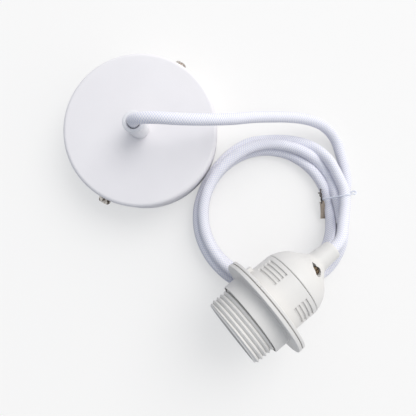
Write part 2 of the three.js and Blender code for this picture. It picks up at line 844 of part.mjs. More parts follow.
const pendantCordSet = new THREE.Group();
pendantCordSet.name = "pendant_cord_set";
pendantCordSet.add(makeRose(), makeLead(), makeCoil(), makeTail(), makeTie(), makeHolder());

export default pendantCordSet;
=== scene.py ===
"""A pendant cord set on a pale table: ceiling rose, textile cord in a tied coil, and a screw lamp holder.

All sizes are in metres in the row frame. Outlines of turned pieces are written in millimetres, because that
is how they are measured, and are scaled where their mesh is made.
"""

import logging
import math
from dataclasses import dataclass
from enum import Enum
from typing import Callable, Optional, Sequence

import bmesh
import bpy
import numpy as np
from mathutils import Matrix, Vector


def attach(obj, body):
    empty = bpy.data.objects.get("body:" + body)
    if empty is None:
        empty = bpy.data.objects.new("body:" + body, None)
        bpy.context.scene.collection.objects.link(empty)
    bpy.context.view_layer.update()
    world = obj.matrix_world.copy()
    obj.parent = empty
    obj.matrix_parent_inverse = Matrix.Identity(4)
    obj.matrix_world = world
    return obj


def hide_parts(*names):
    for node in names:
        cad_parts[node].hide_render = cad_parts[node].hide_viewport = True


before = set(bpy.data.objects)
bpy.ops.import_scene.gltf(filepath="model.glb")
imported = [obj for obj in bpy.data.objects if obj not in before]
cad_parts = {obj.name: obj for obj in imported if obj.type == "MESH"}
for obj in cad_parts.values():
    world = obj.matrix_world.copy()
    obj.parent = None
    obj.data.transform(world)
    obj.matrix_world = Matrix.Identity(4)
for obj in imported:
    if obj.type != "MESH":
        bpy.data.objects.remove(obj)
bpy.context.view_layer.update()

LOG = logging.getLogger("pendant_cord_set")
MM = 0.001
GAP = 0.3
SET_BODY = "set"
RING_BODY = "shade_ring"
CRISP_DEGREES = 34.0
SWEPT_CRISP_DEGREES = 60.0

Colour = tuple[float, float, float]
Point = tuple[float, float]
Place = tuple[float, float, float]
Faces = list[tuple[int, ...]]
Piece = bpy.types.Object
Node = bpy.types.Node
Socket = bpy.types.NodeSocket
Feeds = dict[object, object]
Relief = Callable[[np.ndarray, np.ndarray, np.ndarray], np.ndarray]


# Meshes


def linked(name: str, data: bpy.types.ID) -> Piece:
    """Puts a new object into the scene.

    Args:
        name: The object's name.
        data: The mesh, camera or lamp that it shows.

    Returns:
        The new object.
    """
    made = bpy.data.objects.new(name, data)
    bpy.context.scene.collection.objects.link(made)
    return made


def smoothstep(low: float, high: float, value: np.ndarray) -> np.ndarray:
    """A soft step from 0 at low to 1 at high, where high may be below low for a falling step."""
    t = np.clip((value - low) / (high - low), 0.0, 1.0)
    return t * t * (3.0 - 2.0 * t)


def between(height: np.ndarray, start: float, full: float, fading: float, end: float) -> np.ndarray:
    """1 from full to fading, with a soft rise from start and a soft fall to end."""
    return smoothstep(start, full, height) * smoothstep(end, fading, height)


def round_thread(angle: np.ndarray, height: np.ndarray, pitch: float) -> np.ndarray:
    """A helix with a round profile: 1 on the crest and 0 in the root."""
    return 0.5 + 0.5 * np.cos(2 * np.pi * height / pitch - angle)


def flank_thread(angle: np.ndarray, height: np.ndarray, pitch: float) -> np.ndarray:
    """A helix with straight flanks: 1 on the crest and 0 in the root."""
    turn = height / pitch - angle / (2 * np.pi)
    return 1.0 - np.abs(2 * (turn - np.floor(turn)) - 1.0)


def off_turn(angle: np.ndarray, degrees: float) -> np.ndarray:
    """How many degrees, without sign, each angle lies away from one direction."""
    return np.abs((np.degrees(angle) - degrees + 180.0) % 360.0 - 180.0)


def rounded(corners: Sequence[Place], steps: int) -> list[Point]:
    """Rounds the corners of a closed outline.

    Args:
        corners: Radius, height and rounding of each corner, in order.
        steps: Straight pieces in each rounding.

    Returns:
        The outline's points with each rounding as an arc.
    """
    points: list[Point] = []
    for index, (radius, height, rounding) in enumerate(corners):
        here = Vector((radius, height))
        to_before = Vector(corners[index - 1][:2]) - here
        to_after = Vector(corners[(index + 1) % len(corners)][:2]) - here
        if rounding <= 0:
            points.append((radius, height))
            continue
        half = to_before.angle(to_after) / 2
        reach = min(rounding / math.tan(half), 0.49 * to_before.length, 0.49 * to_after.length)
        inwards = (to_before.normalized() + to_after.normalized()).normalized()
        centre = here + inwards * (reach / math.cos(half))
        start = here + to_before.normalized() * reach - centre
        end = here + to_after.normalized() * reach - centre
        for step in range(steps + 1):
            turned_by = start.slerp(end, step / steps) * start.length
            points.append((centre.x + turned_by.x, centre.y + turned_by.y))
    return points


def subdivided(
    points: Sequence[Point], step: float, low: float, high: float, beyond: float = 0.0
) -> list[Point]:
    """Adds points on the long sides of an outline that lie wholly between two heights.

    Args:
        points: The closed outline.
        step: The longest side that may stay.
        low: Lowest height of a side that is divided.
        high: Highest height of a side that is divided.
        beyond: Smallest radius of a side that is divided.

    Returns:
        The outline with the added points.
    """
    result: list[Point] = []
    for index, (radius, height) in enumerate(points):
        next_radius, next_height = points[(index + 1) % len(points)]
        result.append((radius, height))
        outside = min(height, next_height) < low or max(height, next_height) > high
        if outside or min(radius, next_radius) < beyond:
            continue
        count = int(math.hypot(next_radius - radius, next_height - height) / step)
        for part in range(1, count):
            share = part / count
            result.append((radius + share * (next_radius - radius), height + share * (next_height - height)))
    return result


def tidy_mesh(mesh: bpy.types.Mesh) -> None:
    """Joins doubled points, turns all faces outwards and shades smoothly up to an angle.

    Args:
        mesh: The mesh to tidy in place.
    """
    work = bmesh.new()
    work.from_mesh(mesh)
    bmesh.ops.remove_doubles(work, verts=work.verts, dist=1e-7)
    bmesh.ops.dissolve_degenerate(work, edges=work.edges, dist=1e-8)
    bmesh.ops.recalc_face_normals(work, faces=work.faces)
    for face in work.faces:
        face.smooth = True
    work.to_mesh(mesh)
    work.free()
    mesh.set_sharp_from_angle(angle=math.radians(CRISP_DEGREES))


def new_piece(name: str, vertices: np.ndarray, faces: Faces, place: Optional[Matrix] = None) -> Piece:
    """Makes a mesh object with its points in the row frame.

    Args:
        name: The object's name.
        vertices: Points in millimetres.
        faces: Faces as tuples of point numbers.
        place: Where the points go, in metres, or None to keep them.

    Returns:
        The new object.
    """
    mesh = bpy.data.meshes.new(name)
    mesh.from_pydata((np.asarray(vertices) * MM).tolist(), [], faces)
    if place is not None:
        mesh.transform(place)
    tidy_mesh(mesh)
    return linked(name, mesh)


def turned(
    name: str, outline: Sequence[Point], segments: int, relief: Optional[Relief] = None,
    place: Optional[Matrix] = None,
) -> Piece:
    """A turned piece about +Z, with an optional relief on its surface.

    Args:
        name: The object's name.
        outline: Closed outline of radius and height, in millimetres.
        segments: Facets round the piece.
        relief: Gives how far a point moves outwards from its angle, height and radius.
        place: Where the piece goes, in metres.

    Returns:
        The new object.
    """
    radius = np.array([p[0] for p in outline])[:, None]
    height = np.array([p[1] for p in outline])[:, None]
    angle = np.linspace(0, 2 * math.pi, segments, endpoint=False)[None, :]
    grown = np.broadcast_to(radius, (len(outline), segments)).copy()
    if relief is not None:
        grown = grown + relief(angle + 0 * radius, height + 0 * angle, grown)
    points = np.stack([grown * np.cos(angle), grown * np.sin(angle), height + 0 * angle], axis=2)
    faces: Faces = []
    for row in range(len(outline)):
        here, below = row * segments, (row + 1) % len(outline) * segments
        for column in range(segments):
            beside = (column + 1) % segments
            faces.append((here + column, here + beside, below + beside, below + column))
    return new_piece(name, points.reshape(-1, 3), faces, place)


def prism(
    name: str, shape: Sequence[Point], low: float, high: float, place: Optional[Matrix] = None
) -> Piece:
    """A straight prism along +Z, mostly to carve with.

    Args:
        name: The object's name.
        shape: The outline in x and y, in millimetres.
        low: Height of one end.
        high: Height of the other end.
        place: Where the prism goes, in metres.

    Returns:
        The new object.
    """
    count = len(shape)
    points = [(x, y, low) for x, y in shape] + [(x, y, high) for x, y in shape]
    faces: Faces = [tuple(range(count))[::-1], tuple(range(count, 2 * count))]
    for index in range(count):
        beside = (index + 1) % count
        faces.append((index, beside, count + beside, count + index))
    return new_piece(name, np.array(points), faces, place)


def circle(radius: float, count: int = 48) -> list[Point]:
    """Points of a circle about the origin, in millimetres."""
    turns = [2 * math.pi * index / count for index in range(count)]
    return [(radius * math.cos(turn), radius * math.sin(turn)) for turn in turns]


def oblong(half_length: float, half_width: float) -> list[Point]:
    """Corners of a rectangle about the origin, in millimetres."""
    sides = [(-1, -1), (1, -1), (1, 1), (-1, 1)]
    return [(half_length * x, half_width * y) for x, y in sides]


def spun(degrees: float, axis: str = "Z") -> Matrix:
    """A turn about one of the three axes."""
    return Matrix.Rotation(math.radians(degrees), 4, axis)


def moved(x: float, y: float, z: float) -> Matrix:
    """A move given in millimetres."""
    return Matrix.Translation((x * MM, y * MM, z * MM))


def mixed(t: np.ndarray, low: float, high: float, first: np.ndarray, second: np.ndarray) -> np.ndarray:
    """Two points mixed by where t lies between two values."""
    return (high - t) / (high - low) * first + (t - low) / (high - low) * second


def thread_relief(depth: float, pitch: float, ends: Sequence[float], beyond: float) -> Relief:
    """A relief with one round thread.

    Args:
        depth: How far the crest stands out, or is cut in where it is negative.
        pitch: The thread's pitch.
        ends: Heights where the thread starts, is full, fades and ends.
        beyond: The thread is only where the plain outline's radius is larger than this.

    Returns:
        The relief.
    """

    def relief(angle: np.ndarray, height: np.ndarray, radius: np.ndarray) -> np.ndarray:
        """How far each point moves outwards."""
        return depth * round_thread(angle, height, pitch) * between(height, *ends) * (radius > beyond)

    return relief


class Carving(Enum):
    """What a second solid does to the first."""

    CUT = "DIFFERENCE"
    ADD = "UNION"


def carve(target: Piece, tool: Piece, how: Carving = Carving.CUT) -> None:
    """Cuts a solid out of a piece or adds it, and removes the solid.

    Args:
        target: The piece that changes.
        tool: The solid that is used up.
        how: Whether the solid is cut out or added.
    """
    modifier = target.modifiers.new("carve", "BOOLEAN")
    modifier.operation = how.value
    modifier.object = tool
    modifier.solver = "EXACT"
    graph = bpy.context.evaluated_depsgraph_get()
    made = bpy.data.meshes.new_from_object(target.evaluated_get(graph))
    target.modifiers.clear()
    target.data = made
    bpy.data.objects.remove(tool)
    tidy_mesh(made)


def smooth_route(points: Sequence[Sequence[float]], step: float) -> np.ndarray:
    """A smooth curve through the points, cut into equal short steps.

    Args:
        points: The route's points.
        step: The wanted distance between the results, in the same unit.

    Returns:
        Points along the curve.
    """
    p = np.asarray(points, float)
    p = np.vstack([2 * p[0] - p[1], p, 2 * p[-1] - p[-2]])
    pieces = []
    for i in range(1, len(p) - 2):
        knots = [0.0]
        for k in range(3):
            knots.append(knots[-1] + math.sqrt(np.linalg.norm(p[i + k] - p[i + k - 1])))
        t = np.linspace(knots[1], knots[2], 40, endpoint=False)[:, None]
        a1 = mixed(t, knots[0], knots[1], p[i - 1], p[i])
        a2 = mixed(t, knots[1], knots[2], p[i], p[i + 1])
        a3 = mixed(t, knots[2], knots[3], p[i + 1], p[i + 2])
        b1 = mixed(t, knots[0], knots[2], a1, a2)
        b2 = mixed(t, knots[1], knots[3], a2, a3)
        pieces.append(mixed(t, knots[1], knots[2], b1, b2))
    curve = np.vstack([*pieces, p[-2][None, :]])
    length = np.concatenate([[0], np.cumsum(np.linalg.norm(np.diff(curve, axis=0), axis=1))])
    wanted = np.linspace(0, length[-1], int(round(length[-1] / step)) + 1)
    return np.stack([np.interp(wanted, length, curve[:, k]) for k in range(3)], axis=1)


def swept(
    name: str, path: np.ndarray, section: np.ndarray, upward: Optional[Vector] = None,
    relief: Optional[Callable[[np.ndarray, np.ndarray], np.ndarray]] = None,
) -> Piece:
    """A closed section swept along a path, with UV along it in millimetres and round it from 0 to 1.

    Args:
        name: The object's name.
        path: Points of the path in millimetres.
        section: Points of the section in millimetres.
        upward: The direction the section's second axis keeps to, or None to let it run without twist.
        relief: Scales the section from the ring and corner numbers.

    Returns:
        The new object.
    """
    along = np.gradient(path, axis=0)
    along /= np.linalg.norm(along, axis=1)[:, None]
    second = np.array(upward if upward is not None else (0.3, 0.9, 0.31), float)
    rings = []
    for index, direction in enumerate(along):
        if upward is not None:
            second = np.array(upward, float)
        second = second - direction * float(second @ direction)
        second /= np.linalg.norm(second)
        first = np.cross(second, direction)
        scale = relief(np.full(len(section), index), np.arange(len(section)))[:, None] if relief else 1.0
        rings.append(path[index] + scale * (section[:, :1] * first + section[:, 1:] * second))
    count, sides = len(path), len(section)
    faces: Faces = []
    for row in range(count - 1):
        here, beyond = row * sides, (row + 1) * sides
        for side in range(sides):
            beside = (side + 1) % sides
            faces.append((here + side, here + beside, beyond + beside, beyond + side))
    faces.append(tuple(range(sides))[::-1])
    faces.append(tuple(range((count - 1) * sides, count * sides)))
    mesh = bpy.data.meshes.new(name)
    mesh.from_pydata((np.vstack(rings) * MM).tolist(), [], faces)
    length = np.concatenate([[0], np.cumsum(np.linalg.norm(np.diff(path, axis=0), axis=1))])
    layer = mesh.uv_layers.new(name="braid")
    place = np.zeros((len(mesh.loops), 2), np.float32)
    walls = (count - 1) * sides
    row, side = np.divmod(np.arange(walls), sides)
    corners = [(row, side), (row, side + 1), (row + 1, side + 1), (row + 1, side)]
    for corner, (ring, step) in enumerate(corners):
        place[corner : 4 * walls : 4, 0] = length[ring]
        place[corner : 4 * walls : 4, 1] = step / sides
    layer.data.foreach_set("uv", place.ravel())
    mesh.shade_smooth()
    mesh.set_sharp_from_angle(angle=math.radians(SWEPT_CRISP_DEGREES))
    return linked(name, mesh)


def joined(name: str, first: Piece, *others: Piece) -> Piece:
    """Joins pieces into one object that keeps each one's finish.

    Args:
        name: The new object's name.
        first: The piece the others go into.
        others: The pieces that are used up.

    Returns:
        The joined object.
    """
    work = bmesh.new()
    materials: list[bpy.types.Material] = []
    for source in (first, *others):
        material = source.data.materials[0]
        if material not in materials:
            materials.append(material)
        before = len(work.faces)
        work.from_mesh(source.data)
        work.faces.ensure_lookup_table()
        for face in work.faces[before:]:
            face.material_index = materials.index(material)
    mesh = bpy.data.meshes.new(name)
    work.to_mesh(mesh)
    work.free()
    for material in materials:
        mesh.materials.append(material)
    for source in (first, *others):
        bpy.data.objects.remove(source)
    return linked(name, mesh)


# Finishes

# How dark the painted shade in hollows makes a colour
HOLLOW_SHADE_DARKNESS = 0.4
DUSTY_SHADE = 0.86
RUBBED_PLASTIC = 1.05
RUBBED_METAL = 1.25
BRAID_DRIFT = 0.975
BRAID_FUZZ = 0.25


class ShaderBench:
    """A short way to add nodes to one node tree and to join them."""

    def __init__(self, tree: bpy.types.NodeTree) -> None:
        """Keeps the tree that the nodes go into."""
        self.tree = tree
        self.column = 0

    def add(self, kind: str, feeds: Optional[Feeds] = None, **settings: object) -> Node:
        """Adds a node.

        Args:
            kind: The node's type.
            feeds: What goes into its inputs, by their names or numbers.
            settings: Properties of the node, by name.

        Returns:
            The new node.
        """
        made = self.tree.nodes.new(kind)
        made.location = (self.column, 0)
        self.column += 180
        for key, value in settings.items():
            setattr(made, key, value)
        self.fill(made, feeds or {})
        return made

    def fill(self, node: Node, feeds: Feeds) -> None:
        """Joins inputs of a node to sockets, or sets their own values.

        Args:
            node: The node that is fed.
            feeds: A socket, a number or a colour for each input's name or number.
        """
        for key, source in feeds.items():
            if isinstance(source, Socket):
                self.tree.links.new(source, node.inputs[key])
            else:
                node.inputs[key].default_value = source

    def sum(self, operation: str, first: object, second: object = 0.0) -> Socket:
        """The result of a Math node's operation on two values or sockets."""
        return self.add("ShaderNodeMath", {0: first, 1: second}, operation=operation).outputs[0]

    def spread(
        self, value: object, low: float, high: float, to_low: float = 0.0, to_high: float = 1.0
    ) -> Socket:
        """Maps the range from low to high softly to the range from to_low to to_high."""
        feeds = {"Value": value, "From Min": low, "From Max": high, "To Min": to_low, "To Max": to_high}
        return self.add("ShaderNodeMapRange", feeds, interpolation_type="SMOOTHSTEP").outputs[0]

    def blend(self, share: object, first: object, second: object) -> Socket:
        """Mixes two colours or sockets, where share says how much of the second shows."""
        one, two = ((*part, 1.0) if isinstance(part, tuple) else part for part in (first, second))
        return self.add("ShaderNodeMix", {"Factor": share, 6: one, 7: two}, data_type="RGBA").outputs[2]

    def noise(self, size: object, detail: float, coordinate: Optional[Socket] = None) -> Socket:
        """Noise with so many cells in a metre, read at a coordinate or else at the object's own ones."""
        spot = self.add("ShaderNodeTexCoord").outputs["Object"] if coordinate is None else coordinate
        return self.add("ShaderNodeTexNoise", {0: spot, "Scale": size, "Detail": detail}).outputs["Fac"]

    def parts(self, vector: Socket) -> Sequence[Socket]:
        """The three parts of a vector."""
        return self.add("ShaderNodeSeparateXYZ", {0: vector}).outputs

    def bump(self, shader: Node, height: Socket, depth: float) -> None:
        """Gives a shader a bump, where a height of 1 stands for a depth in metres."""
        made = self.add("ShaderNodeBump", {"Strength": 1.0, "Distance": depth, "Height": height})
        self.fill(shader, {"Normal": made.outputs["Normal"]})

    def seen_directly(self) -> Socket:
        """1 for the rays that show a surface, 0 for those that only light other surfaces.

        Returns:
            A socket that is 1 for a camera, glossy or transmission ray.
        """
        path = self.add("ShaderNodeLightPath")
        mirrored = self.sum("MAXIMUM", path.outputs["Is Glossy Ray"], path.outputs["Is Transmission Ray"])
        return self.sum("MAXIMUM", path.outputs["Is Camera Ray"], mirrored)


def scaled(colour: Colour, factor: float) -> Colour:
    """A colour made lighter or darker."""
    return tuple(min(1.0, factor * part) for part in colour)


def blank_material(name: str) -> tuple[bpy.types.Material, ShaderBench]:
    """Starts a material without nodes.

    Args:
        name: The material's name.

    Returns:
        The material and the bench to fill it on.
    """
    made = bpy.data.materials.new(name)
    made.use_nodes = True
    made.node_tree.nodes.clear()
    return made, ShaderBench(made.node_tree)


class Effect(Enum):
    """Surface effects that more than one finish uses, each a shader node group."""

    GRAIN = "surface_grain"
    WEAR_AND_HOLLOW_SHADE = "edge_wear"
    DUST = "settled_dust"

    def group(self) -> bpy.types.NodeTree:
        """The effect's node group, built the first time it is asked for."""
        found = bpy.data.node_groups.get(self.value)
        return found if found is not None else EFFECT_BUILDERS[self](self.value)

    def place(self, bench: ShaderBench, **values: float) -> Node:
        """Puts the effect's group into a material, with values for its inputs by name."""
        return bench.add("ShaderNodeGroup", values, node_tree=self.group())


def new_group(name: str, inputs: dict[str, float], outputs: Sequence[str]) -> tuple[ShaderBench, Node, Node]:
    """Starts a shader node group with number inputs and number outputs.

    Args:
        name: The group's name.
        inputs: The inputs and their default values.
        outputs: The outputs' names.

    Returns:
        The group's bench, its input node and its output node.
    """
    tree = bpy.data.node_groups.new(name, "ShaderNodeTree")
    for label, value in inputs.items():
        socket = tree.interface.new_socket(label, in_out="INPUT", socket_type="NodeSocketFloat")
        socket.default_value = value
    for label in outputs:
        tree.interface.new_socket(label, in_out="OUTPUT", socket_type="NodeSocketFloat")
    bench = ShaderBench(tree)
    return bench, bench.add("NodeGroupInput"), bench.add("NodeGroupOutput")


def build_grain(name: str) -> bpy.types.NodeTree:
    """Fine unevenness and slow colour drift.

    Args:
        name: The group's name.

    Returns:
        A group with a Height for bump and a Tone from 0 to 1.
    """
    bench, given, result = new_group(name, {"Fine": 1500.0, "Broad": 40.0}, ("Height", "Tone"))
    tone = bench.spread(bench.noise(given.outputs["Broad"], 2.0), 0.3, 0.7)
    bench.fill(result, {"Height": bench.noise(given.outputs["Fine"], 3.0), "Tone": tone})
    return bench.tree


def build_wear_and_hollow_shade(name: str) -> bpy.types.NodeTree:
    """Rubbed outer edges, broken up by noise, and painted shade deep in hollows.

    Args:
        name: The group's name.

    Returns:
        A group with a Mask that is 1 where an edge is rubbed, and a second output, for painted shade, that is
        1 deep in a groove.
    """
    bench, given, result = new_group(name, {"Amount": 0.5}, ("Mask", "HollowShade"))
    edge_from, edge_full, hollow_shade_from, hollow_shade_full = 0.515, 0.6, 0.49, 0.42
    pointed = bench.add("ShaderNodeNewGeometry").outputs["Pointiness"]
    edge = bench.spread(pointed, edge_from, edge_full)
    # Painted shade: 1 deep in grooves and creases, where less light reaches
    hollow_shade = bench.spread(pointed, hollow_shade_from, hollow_shade_full)
    broken = bench.spread(bench.noise(900.0, 3.0), 0.35, 0.65)
    mask = bench.sum("MULTIPLY", bench.sum("MULTIPLY", edge, broken), given.outputs["Amount"])
    bench.fill(result, {"Mask": mask, "HollowShade": hollow_shade})
    return bench.tree


def build_dust(name: str) -> bpy.types.NodeTree:
    """Specks of dust on faces that look up.

    Args:
        name: The group's name.

    Returns:
        A group with a Mask that is 1 on a speck.
    """
    bench, given, result = new_group(name, {"Amount": 0.2}, ("Mask",))
    normal = bench.add("ShaderNodeNewGeometry").outputs["Normal"]
    facing = bench.spread(bench.parts(normal)["Z"], 0.2, 0.9)
    specks = bench.spread(bench.noise(2600.0, 1.0), 0.64, 0.72)
    mask = bench.sum("MULTIPLY", bench.sum("MULTIPLY", facing, specks), given.outputs["Amount"])
    bench.fill(result, {"Mask": mask})
    return bench.tree


EFFECT_BUILDERS = {Effect.GRAIN: build_grain, Effect.WEAR_AND_HOLLOW_SHADE: build_wear_and_hollow_shade, Effect.DUST: build_dust}


@dataclass(frozen=True)
class Finish:
    """A material's name and the values that all finishes share."""

    name: str
    colour: Colour
    roughness: float

    def material(self) -> bpy.types.Material:
        """The material, built the first time it is asked for.

        Returns:
            The Blender material.
        """
        label = f"{self.name}_finish"
        found = bpy.data.materials.get(label)
        if found is not None:
            return found
        made, bench = blank_material(label)
        shader = bench.add("ShaderNodeBsdfPrincipled", {"Roughness": self.roughness})
        self.dress(bench, shader)
        bench.add("ShaderNodeOutputMaterial", {"Surface": shader.outputs["BSDF"]})
        made.diffuse_color = (*self.colour, 1.0)
        return made

    def dress(self, bench: ShaderBench, shader: Node) -> None:
        """Feeds the shader with one plain colour; each kind of finish has its own."""
        bench.fill(shader, {"Base Color": (*self.colour, 1.0)})

    def cover(self, piece: Piece) -> Piece:
        """Puts the finish on a whole piece.

        Args:
            piece: The object that gets it as its only material.

        Returns:
            The same piece.
        """
        piece.data.materials.clear()
        piece.data.materials.append(self.material())
        return piece


@dataclass(frozen=True)
class Coating(Finish):
    """Paint or plastic: fine grain, a slow drift of colour, rubbed edges, painted shade in hollows and a
    little dust.
    """

    drift: Colour
    fine: float
    depth: float
    wear: float = 0.3
    dust: float = 0.25
    specular: float = 0.5
    # How strongly hollows are darkened as painted shade
    painted_hollow_shade: float = 0.3

    def dress(self, bench: ShaderBench, shader: Node) -> None:
        """Feeds colour, roughness and bump from the shared effects.

        Args:
            bench: The material's bench.
            shader: The material's shader.
        """
        grain = Effect.GRAIN.place(bench, Fine=self.fine, Broad=45.0)
        wear = Effect.WEAR_AND_HOLLOW_SHADE.place(bench, Amount=self.wear)
        dust = Effect.DUST.place(bench, Amount=self.dust)
        base = bench.blend(grain.outputs["Tone"], self.colour, self.drift)
        # Painted shade: the colour darkens deep in grooves and creases, where shade falls
        hollow_shade_share = bench.sum("MULTIPLY", wear.outputs["HollowShade"], self.painted_hollow_shade)
        painted_hollow_shade = bench.blend(hollow_shade_share, base, scaled(self.colour, HOLLOW_SHADE_DARKNESS))
        rubbed = bench.blend(wear.outputs["Mask"], painted_hollow_shade, scaled(self.colour, RUBBED_PLASTIC))
        dusty = bench.blend(dust.outputs["Mask"], rubbed, scaled(self.colour, DUSTY_SHADE))
        rough = bench.spread(grain.outputs["Tone"], 0.0, 1.0, self.roughness, self.roughness + 0.08)
        bench.fill(shader, {"Base Color": dusty, "Roughness": rough, "Specular IOR Level": self.specular})
        bench.bump(shader, grain.outputs["Height"], self.depth)


@dataclass(frozen=True)
class Metal(Finish):
    """Plated or plain metal: bright, streaked by its making, darker in random patches: tarnish, and on one
    side screw a painted dark reflection.
    """

    tarnish_and_painted_reflection: Colour
    streaks: float = 0.35
    wear: float = 0.6
    depth: float = 0.00002

    def dress(self, bench: ShaderBench, shader: Node) -> None:
        """Feeds colour, roughness and bump from the shared effects and from streaks along the part.

        Args:
            bench: The material's bench.
            shader: The material's shader.
        """
        grain = Effect.GRAIN.place(bench, Fine=2600.0, Broad=420.0)
        wear = Effect.WEAR_AND_HOLLOW_SHADE.place(bench, Amount=self.wear)
        place = bench.add("ShaderNodeTexCoord").outputs["Object"]
        stretched = bench.add("ShaderNodeMapping", {"Scale": (1.0, 1.0, 9.0), "Vector": place})
        streak = bench.noise(700.0, 4.0, stretched.outputs["Vector"])
        base = bench.blend(grain.outputs["Tone"], self.colour, self.tarnish_and_painted_reflection)
        rubbed = bench.blend(wear.outputs["Mask"], base, scaled(self.colour, RUBBED_METAL))
        rough = bench.spread(streak, 0.3, 0.7, self.roughness, self.roughness + 0.4 * self.streaks)
        bench.fill(shader, {"Base Color": rubbed, "Roughness": rough, "Metallic": 1.0})
        bench.bump(shader, streak, self.depth)


@dataclass(frozen=True)
class Braid(Finish):
    """Textile braid over a cord: bright crossing yarns with gaps in painted blue shade, laid out on the
    cord's own UV.
    """

    gap_shade_colour: Colour
    pitch: float
    yarns: int
    depth: float

    def dress(self, bench: ShaderBench, shader: Node) -> None:
        """Feeds the crossing pattern into colour and bump; the gaps get a darker, bluer colour as painted
        shade.

        Args:
            bench: The material's bench.
            shader: The material's shader.
        """
        laid = bench.parts(bench.add("ShaderNodeUVMap", uv_map="braid").outputs["UV"])
        down = bench.sum("MULTIPLY", laid["X"], math.pi / self.pitch)
        round_it = bench.sum("MULTIPLY", laid["Y"], math.pi * self.yarns)
        one = bench.sum("ABSOLUTE", bench.sum("SINE", bench.sum("ADD", down, round_it)))
        other = bench.sum("ABSOLUTE", bench.sum("SINE", bench.sum("SUBTRACT", down, round_it)))
        crest = bench.sum("MULTIPLY", one, other)
        fuzz = bench.noise(5200.0, 2.0)
        drift = Effect.GRAIN.place(bench, Fine=3000.0, Broad=120.0)
        shown = bench.spread(crest, 0.03, 0.42)
        tinted = bench.blend(drift.outputs["Tone"], self.colour, scaled(self.colour, BRAID_DRIFT))
        # Painted shade: the gaps between yarns take a darker blue colour
        bench.fill(shader, {"Base Color": bench.blend(shown, self.gap_shade_colour, tinted)})
        bench.fill(shader, {"Sheen Weight": 0.25, "Sheen Roughness": 0.5, "Specular IOR Level": 0.2})
        height = bench.sum("ADD", crest, bench.sum("MULTIPLY", fuzz, BRAID_FUZZ))
        bench.bump(shader, height, self.depth)


WHITE_PAINT = Coating(
    "white_paint", (0.885, 0.865, 0.885), 0.55, drift=(0.87, 0.85, 0.87), fine=2200.0, depth=0.00003,
    wear=0.1, dust=0.15, specular=0.15,
)
WHITE_PLASTIC = Coating(
    "white_plastic", (0.84, 0.84, 0.86), 0.32, drift=(0.82, 0.82, 0.845), fine=1400.0, depth=0.00001,
    wear=0.2, dust=0.15,
)
WARM_PLASTIC = Coating(
    "warm_plastic", (0.77, 0.755, 0.735), 0.38, drift=(0.75, 0.735, 0.712), fine=1600.0, depth=0.00002,
    wear=0.35, dust=0.3, painted_hollow_shade=0.9,
)
CLEAR_FILM = Coating(
    "tie_film", (0.76, 0.79, 0.87), 0.25, drift=(0.7, 0.73, 0.81), fine=900.0, depth=0.00001,
    wear=0.1, dust=0.0,
)
TAN_FILM = Coating(
    "tie_strip", (0.42, 0.35, 0.28), 0.3, drift=(0.26, 0.2, 0.15), fine=900.0, depth=0.00002,
    wear=0.5, dust=0.0,
)
DARK_FILM = Coating(
    "tie_twist", (0.045, 0.035, 0.03), 0.3, drift=(0.1, 0.08, 0.06), fine=1800.0, depth=0.00002, dust=0.0
)
LIVE_SLEEVE = Coating(
    "live_sleeve", (0.16, 0.06, 0.03), 0.35, drift=(0.13, 0.05, 0.025), fine=1200.0, depth=0.00001,
    wear=0.2, dust=0.1,
)
NEUTRAL_SLEEVE = Coating(
    "neutral_sleeve", (0.03, 0.1, 0.32), 0.35, drift=(0.025, 0.085, 0.28), fine=1200.0, depth=0.00001,
    wear=0.2, dust=0.1,
)
ZINC = Metal("zinc", (0.62, 0.61, 0.58), 0.34, tarnish_and_painted_reflection=(0.5, 0.48, 0.42))
NICKEL = Metal("nickel", (0.66, 0.64, 0.6), 0.22, tarnish_and_painted_reflection=(0.5, 0.47, 0.42))
BRIGHT_NICKEL = Metal("bright_nickel", (0.66, 0.62, 0.58), 0.2, tarnish_and_painted_reflection=(0.16, 0.1, 0.07))
# Near-black patches stand for dark reflections: painted reflection, not tarnish
NICKEL_WITH_PAINTED_DARK_REFLECTION = Metal("nickel_with_painted_dark_reflection", (0.7, 0.67, 0.64), 0.2, tarnish_and_painted_reflection=(0.06, 0.045, 0.035))
# Brass darkened well below its own colour: painted shade for a screw sunk in a hole
BRASS_DARKENED_AS_SHADE = Metal("brass", (0.24, 0.18, 0.125), 0.3, tarnish_and_painted_reflection=(0.12, 0.085, 0.055))
# The gap colour is painted shade, tinted blue
TEXTILE = Braid(
    "textile", (0.955, 0.945, 0.975), 0.8, gap_shade_colour=(0.68, 0.7, 0.86), pitch=1.3, yarns=9, depth=0.00012
)


# Sub-assemblies


@dataclass
class LampAxis:
    """The lamp holder's own frame: z along its axis from the mouth, x as near to up as the axis allows."""

    mouth: Place = (-27.8745, -121.4446, 40.6)
    tilt_degrees: float = 9.0

    def place(self) -> Matrix:
        """The matrix from the holder's frame to the row frame, in metres.

        Returns:
            A 4 by 4 matrix.
        """
        tilt = math.radians(self.tilt_degrees)
        along = Vector((math.cos(tilt), 0.0, -math.sin(tilt)))
        upward = Vector((math.sin(tilt), 0.0, math.cos(tilt)))
        basis = Matrix((upward, along.cross(upward), along)).transposed()
        return Matrix.Translation(Vector(self.mouth) * MM) @ basis.to_4x4()

    def point(self, x: float, y: float, z: float) -> Place:
        """A point of the holder's frame in the row frame, in millimetres."""
        return tuple(self.place() @ (Vector((x, y, z)) * MM) / MM)


def settle(piece: Piece, body: str, material_slot: str, *nodes: str) -> None:
    """Lets a piece ride on its body in place of its CAD nodes.

    Args:
        piece: The dressed piece.
        body: The body that carries it.
        material_slot: Not used.
        nodes: The CAD nodes that it stands for.
    """
    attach(piece, body)
    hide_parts(*nodes)
    LOG.info("%s: %d faces for %s", piece.name, len(piece.data.polygons), ", ".join(nodes))


